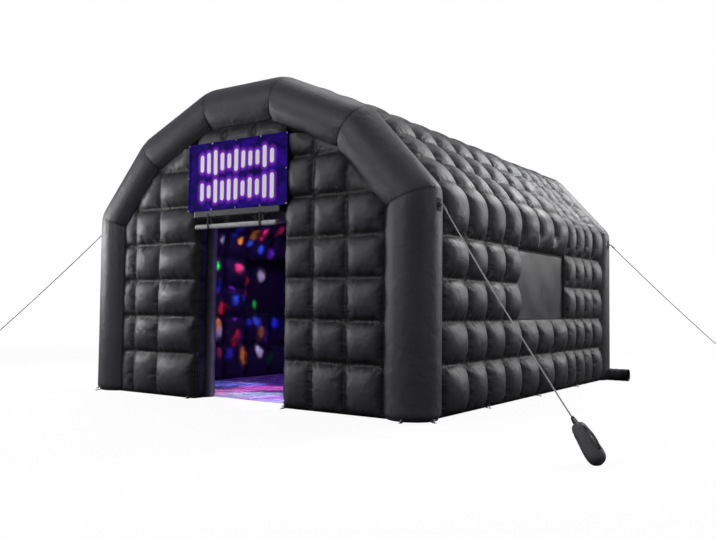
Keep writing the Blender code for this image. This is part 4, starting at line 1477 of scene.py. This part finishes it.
class TENT_OT_sleeve(bpy.types.Operator):
    """Air inlet sleeve at the rear right foot"""
    bl_idname = "tent.sleeve"
    bl_label = "Inlet sleeve"

    def execute(self, context):
        shape, rig, colours = groups("shape", "rigging", "colours")
        fabric = coated_oxford("coated oxford, sleeve", colours.oxford)
        webbing = woven_band("polyester webbing, sleeve", colours.webbing)
        start, end = shape.width / 2 - 0.03, shape.width / 2 + rig.sleeve_length
        strap_x = end - SLEEVE_STRAP
        angle = turns(64)
        middle = Vector((0, arch_middle(shape)[1], rig.sleeve_radius * 0.97))
        rings = []
        for x in np.linspace(start, end, SLEEVE_PARTS + 1):
            wrinkle = np.sin(70 * x + 1.5 * np.sin(2 * angle) + np.cos(3 * angle))
            gather = np.cos(17 * angle) * dip(x - strap_x, 0.035)
            size = rig.sleeve_radius * (SLEEVE_SLACK + 0.022 * wrinkle * (1 - dip(x - strap_x, 0.03))
                                        - 0.03 * dip(x - strap_x, 0.02) + 0.02 * gather)
            ring = ring_across(x, middle.y, middle.z, size, angle)
            ring[:, 2] = np.maximum(ring[:, 2], 0.0)
            rings.append(ring)
        # The mouth turns in on itself, as a hem does.
        for inward, x in ((0.965, end - 0.004), (0.95, end - SLEEVE_HEM), (0.93, end - 0.16)):
            last = rings[SLEEVE_PARTS].copy()
            last[:, 0] = x
            last[:, 1:] = (middle.y, middle.z) + (last[:, 1:] - (middle.y, middle.z)) * inward
            rings.append(last)
        rings = np.array(rings)
        flat = plane(np.arange(len(rings)) * (end - start) / SLEEVE_PARTS, angle * rig.sleeve_radius)
        item = ring_piece("inlet_sleeve_skin", rings, flat, fabric, (False, True))
        fit(item, "coated_fabric", "inlet_sleeve")
        store(item, "seam_gap", np.abs(rings[..., 0] - (end - SLEEVE_HEM)))
        store(item, "seam_run", flat[..., 1])
        reach = rig.sleeve_radius * SLEEVE_SLACK
        path = [(strap_x, middle.y + reach * math.cos(a), max(0.002, middle.z + reach * math.sin(a)))
                for a in np.linspace(0, math.tau, 49)]
        fit(strap_piece("inlet_sleeve_strap", path, (1, 0, 0), 0.025, webbing), "webbing")
        return {"FINISHED"}


class TENT_OT_guys(bpy.types.Operator):
    """Ring patches, guy ropes and weight bags"""
    bl_idname = "tent.guys"
    bl_label = "Guy ropes and bags"

    def execute(self, context):
        colours, = groups("colours")
        webbing = woven_band("polyester webbing, patches and straps", colours.webbing)
        rope = woven_band("braided polyester rope", colours.rope, 0.009, 0.6)
        canvas = plain_fabric("waxed canvas", colours.canvas, 0.62)
        steel = steel_finish("zinc-plated steel, rings", colours.steel, 0.3)
        for end, sign_y in ENDS:
            for side, sign_x in SIDES:
                name = f"{end}_{side}"
                ring_fitting(name, sign_x, sign_y, webbing, steel)
                fit(guy_rope(f"{name}_rope", sign_x, sign_y, rope), "rope", f"{name}_guy_rope")
                rope_knots(name, sign_x, sign_y, rope)
                bag = weight_bag(f"{name}_bag", sign_x, sign_y, canvas)
                fit(bag, "bag_canvas", f"{name}_weight_bag")
                bag_straps(name, sign_x, sign_y, webbing)
        return {"FINISHED"}


# The tube's swell at the patch, how far out from it the ring hangs, and the ring's size.
PATCH_SWELL, RING_OUT, RING_RADIUS, RING_WIRE = 1.03, 0.034, 0.022, 0.0035


def ring_fitting(name, sign_x, sign_y, webbing, steel):
    """A webbing patch that follows the leg, its tab, and the ring that the rope is tied to."""
    shape, rig = groups("shape", "rigging")
    radius = shape.tube_radius * PATCH_SWELL
    leg, arch_y = arch_middle(shape)
    flat = plane(np.linspace(-rig.anchor_width / 2, rig.anchor_width / 2, 13),
                 np.linspace(-rig.anchor_length / 2, rig.anchor_length / 2, 17))
    y, z = flat[..., 0], flat[..., 1]
    x = leg + np.sqrt(radius ** 2 - y ** 2) + 0.003
    points = np.stack((sign_x * x, sign_y * arch_y + y, rig.anchor_height + z), axis=-1)
    patch, _ = sew_grid(f"{name}_patch", points, flat + 1, (sign_x, 0, 0), webbing)
    fit(solid_sheet(patch, rig.anchor_thickness), "webbing", f"{name}_ring_patch")
    ring, base = (Vector((sign_x * (leg + radius + reach), sign_y * arch_y, rig.anchor_height))
                  for reach in (RING_OUT, 0.002))
    loop = arc(base, Vector((0, 0, 0.020)), Vector((sign_x * 0.016, 0, 0)), math.pi, 13)
    fit(strap_piece(f"{name}_tab", loop, (0, 1, 0), 0.03, webbing), "webbing")
    fit(eyelet(f"{name}_ring", ring - Vector((sign_x * 0.006, 0, 0)), (0, 0.35, 1), RING_RADIUS,
               RING_WIRE, steel), "webbing")


# A bag's body starts this far above the point where it touches the ground.
BAG_FOOT = 0.03


# A knot's turns, their radius and spacing, and its cord's radius as a share of the rope's diameter.
KNOT_TURNS, KNOT_RADIUS, KNOT_PITCH, KNOT_ROPE = 3, 0.0085, 0.0095, 0.42


def rope_knots(name, sign_x, sign_y, material):
    """Three tight turns and a loose tail at each end of a guy rope."""
    rig, = groups("rigging")
    ring, foot, axis = rope_places(sign_x, sign_y)
    neck = foot + axis * (BAG_FOOT + rig.bag_length)
    side = axis.orthogonal().normalized()
    top = axis.cross(side)
    for place, start in (("upper", ring), ("lower", neck + axis * 0.07)):
        path = []
        for turn in np.linspace(0, KNOT_TURNS * math.tau, 55):
            out = KNOT_RADIUS * (math.cos(turn) * side + math.sin(turn) * top)
            path.append(start - axis * (0.030 + KNOT_PITCH * turn / math.tau) + out)
        tail = path[-1]
        for step in np.linspace(0, 1, 9)[1:]:
            path.append(tail - axis * 0.02 * step + side * 0.016 * step - UP * 0.05 * step ** 2)
        fit(swept_piece(f"{name}_{place}_knot", path, rig.rope_diameter * KNOT_ROPE, 8, material), "rope")


def bag_reach(part):
    """Radius of the bag at a part of its length, from its foot to its gathered neck."""
    body = math.sqrt(max(0.0, 1 - abs(2 * part - 1) ** 6)) * (1 - 0.22 * part ** 2)
    return groups("rigging")[0].bag_radius * max(0.3, body)


def bag_frame(sign_x, sign_y):
    """Start of a bag's body, the direction up the bag, its side and its upper side."""
    _, foot, axis = rope_places(sign_x, sign_y)
    side = axis.cross(UP).normalized()
    return foot + axis * BAG_FOOT, axis, side, side.cross(axis).normalized()


def bag_straps(name, sign_x, sign_y, material):
    """A carrying strap along the bag's upper side and the loop at its neck."""
    rig, = groups("rigging")
    start, axis, side, top = bag_frame(sign_x, sign_y)
    path = [start + axis * rig.bag_length * part
            + top * (0.985 * bag_reach(part) + 0.016 * math.sin(math.pi * (part - 0.2) / 0.6))
            for part in np.linspace(0.2, 0.8, 25)]
    fit(strap_piece(f"{name}_bag_handle", path, side, 0.026, material), "webbing")
    neck = start + axis * (rig.bag_length - 0.012)
    loop = arc(neck, side * 0.018, axis * 0.075, math.pi, 25)
    fit(strap_piece(f"{name}_bag_loop", loop, top, 0.022, material), "webbing")


def rope_places(sign_x, sign_y):
    """A guy rope's ring, its bag's foot and the direction up the bag."""
    shape, rig = groups("shape", "rigging")
    ring = Vector((sign_x * (shape.width / 2 + APART + rig.anchor_thickness + rig.ring_depth),
                   sign_y * arch_middle(shape)[1], rig.anchor_height))
    foot = Vector((sign_x * (shape.width / 2 + rig.bag_out),
                   sign_y * (shape.length / 2 + rig.bag_ahead), 0))
    return ring, foot, (ring - foot).normalized()


def swept_piece(name, path, radius, sides, material):
    """A round piece along a path, on a steady frame, with its cloth laid round and along it."""
    path = [Vector(p) for p in path]
    rings, side = [], None
    for index, point in enumerate(path):
        before, after = path[max(index - 1, 0)], path[min(index + 1, len(path) - 1)]
        along = (after - before).normalized()
        if side is None:
            side = along.orthogonal().normalized()
        side = (side - along * side.dot(along)).normalized()
        top = along.cross(side)
        rings.append([point + radius * (math.cos(math.tau * k / sides) * side
                                        + math.sin(math.tau * k / sides) * top)
                      for k in range(sides)])
    girth = np.linspace(0, math.tau * radius, sides, endpoint=False)
    flat = plane(lengths_along(np.array([tuple(p) for p in path])), girth)[..., ::-1]
    return ring_piece(name, np.array(rings), flat, material)


def guy_rope(name, sign_x, sign_y, material):
    """A rope from the ring on the leg to the neck of its bag, with the sag of a tight line."""
    rig, = groups("rigging")
    ring, foot, axis = rope_places(sign_x, sign_y)
    end = foot + axis * (BAG_FOOT + rig.bag_length + 2 * APART)
    path = []
    for part in np.linspace(0, 1, 60):
        place = ring.lerp(end, part)
        place.z -= 4 * rig.rope_sag * part * (1 - part)
        path.append(place)
    return swept_piece(name, path, rig.rope_diameter / 2, 12, material)


def weight_bag(name, sign_x, sign_y, material):
    """A sand-filled pouch that stands on its foot and leans along its rope, gathered at the neck."""
    rig, = groups("rigging")
    start, axis, side, top = bag_frame(sign_x, sign_y)
    angle = turns(64)
    parts = 0.5 - 0.5 * np.cos(np.pi * np.linspace(0, 1, 61))
    rings = []
    for part in parts:
        pleat = 0.10 * np.cos(11 * angle) * dip(part - 0.97, 0.10)
        slump = 0.035 * np.sin(2 * angle + 5 * part) + 0.02 * np.sin(3 * angle - 9 * part)
        ridge = 0.03 * np.exp(-(((angle % math.pi) - 0.05) / 0.06) ** 2)
        crease = 0.02 * np.sin(30 * part + 2 * np.sin(angle)) * dip(part - 0.8, 0.12)
        reach = bag_reach(part) * (0.955 + pleat + slump * math.sin(math.pi * part) + ridge + crease)
        rings.append(np.array(start + axis * rig.bag_length * part) + reach[:, None] * (
            np.cos(angle)[:, None] * np.array(side) + np.sin(angle)[:, None] * np.array(top)))
    rings = np.array(rings)
    rings[..., 2] = np.maximum(rings[..., 2], 0.0)
    flat = plane(parts * rig.bag_length, angle * rig.bag_radius)
    return ring_piece(name, rings, flat, material)


# Ground loops: degrees round each leg, places along each side, and places along the rear wall.
LEG_LOOPS, SIDE_LOOPS, REAR_LOOPS = (20, 80), (-1.57, -0.05, 1.415), (-1.0, 0.0, 1.0)
# Share of the tube's radius at its pinched foot, and a front loop's distance beside the doorway.
LEG_FOOT, DOOR_LOOP = 0.93, 0.05


class TENT_OT_pegs(bpy.types.Operator):
    """Webbing loops and steel pegs along the foot of the tent"""
    bl_idname = "tent.pegs"
    bl_label = "Pegs"

    def execute(self, context):
        shape, door, colours = groups("shape", "entrance", "colours")
        webbing = woven_band("polyester webbing, ground loops", colours.webbing)
        steel = steel_finish("zinc-plated steel, pegs", colours.steel, 0.4)
        leg, arch_y = arch_middle(shape)
        side, face = leg + shape.outset, shape.length / 2 - shape.inset
        places = []
        for _, sign_y in ENDS:
            for _, sign_x in SIDES:
                for turn in np.radians(LEG_LOOPS):
                    out = Vector((sign_x * math.cos(turn), sign_y * math.sin(turn), 0))
                    foot = Vector((sign_x * leg, sign_y * arch_y, 0))
                    places.append((foot + out * (shape.tube_radius * LEG_FOOT), out))
        for _, sign_x in SIDES:
            places += [((sign_x * side, y, 0), (sign_x, 0, 0)) for y in SIDE_LOOPS]
            places.append(((sign_x * (door.door_width / 2 + DOOR_LOOP), -face, 0), (0, -1, 0)))
        places += [((x, face, 0), (0, 1, 0)) for x in REAR_LOOPS]
        for number, (place, out) in enumerate(places):
            ground_loop(number, Vector(place), Vector(out), webbing, steel)
        return {"FINISHED"}


# The strap's run and the peg's hook, as steps outward and upward.
LOOP_RUN = ((-0.05, 0.030), (0.0, 0.018), (0.03, 0.008), (0.06, 0.004), (0.09, 0.003))
PEG_HOOK = ((0.0, 0.0), (0.0, 0.022), (-0.004, 0.030), (-0.013, 0.034), (-0.022, 0.030),
            (-0.025, 0.018))


def ground_loop(number, place, out, webbing, steel):
    """A strap that runs out from the foot of the cloth, and the hooked peg through its end."""
    rig, = groups("rigging")
    path = [place + out * reach + UP * height for reach, height in LOOP_RUN]
    fit(strap_piece(f"ground_loop_{number}", path, UP.cross(out), rig.strap_width, webbing), "webbing")
    head = place + out * 0.072
    bend = [head + UP * height + out * reach for reach, height in PEG_HOOK]
    fit(swept_piece(f"ground_peg_{number}", bend, 0.0045, 10, steel), "webbing")


class TENT_PT_panel(bpy.types.Panel):
    """Lists the pieces of the tent"""
    bl_label = "Inflatable Party Tent"
    bl_idname = "TENT_PT_panel"
    bl_space_type = "VIEW_3D"
    bl_region_type = "UI"
    bl_category = "Tent"

    def draw(self, context):
        for operator in OPERATORS:
            self.layout.operator(operator.bl_idname)


GROUPS = {"tent_shape": TentShape, "tent_quilt": TentQuilt, "tent_entrance": TentEntrance,
          "tent_window": TentWindow, "tent_rigging": TentRigging, "tent_colours": TentColours}
OPERATORS = (TENT_OT_stage, TENT_OT_arches, TENT_OT_end_walls, TENT_OT_shell, TENT_OT_inflate,
             TENT_OT_windows, TENT_OT_entrance, TENT_OT_inside, TENT_OT_sleeve, TENT_OT_guys,
             TENT_OT_pegs)


def register():
    for group in GROUPS.values():
        bpy.utils.register_class(group)
    for name, group in GROUPS.items():
        setattr(bpy.types.Scene, name, PointerProperty(type=group))
    for kind in (*OPERATORS, TENT_PT_panel):
        bpy.utils.register_class(kind)


def unregister():
    for kind in (TENT_PT_panel, *reversed(OPERATORS)):
        bpy.utils.unregister_class(kind)
    for name, group in GROUPS.items():
        delattr(bpy.types.Scene, name)
        bpy.utils.unregister_class(group)


def main():
    """Makes the whole tent."""
    register()
    for operator in OPERATORS:
        group, name = operator.bl_idname.split(".")
        getattr(getattr(bpy.ops, group), name)()


if __name__ == "__main__":
    main()
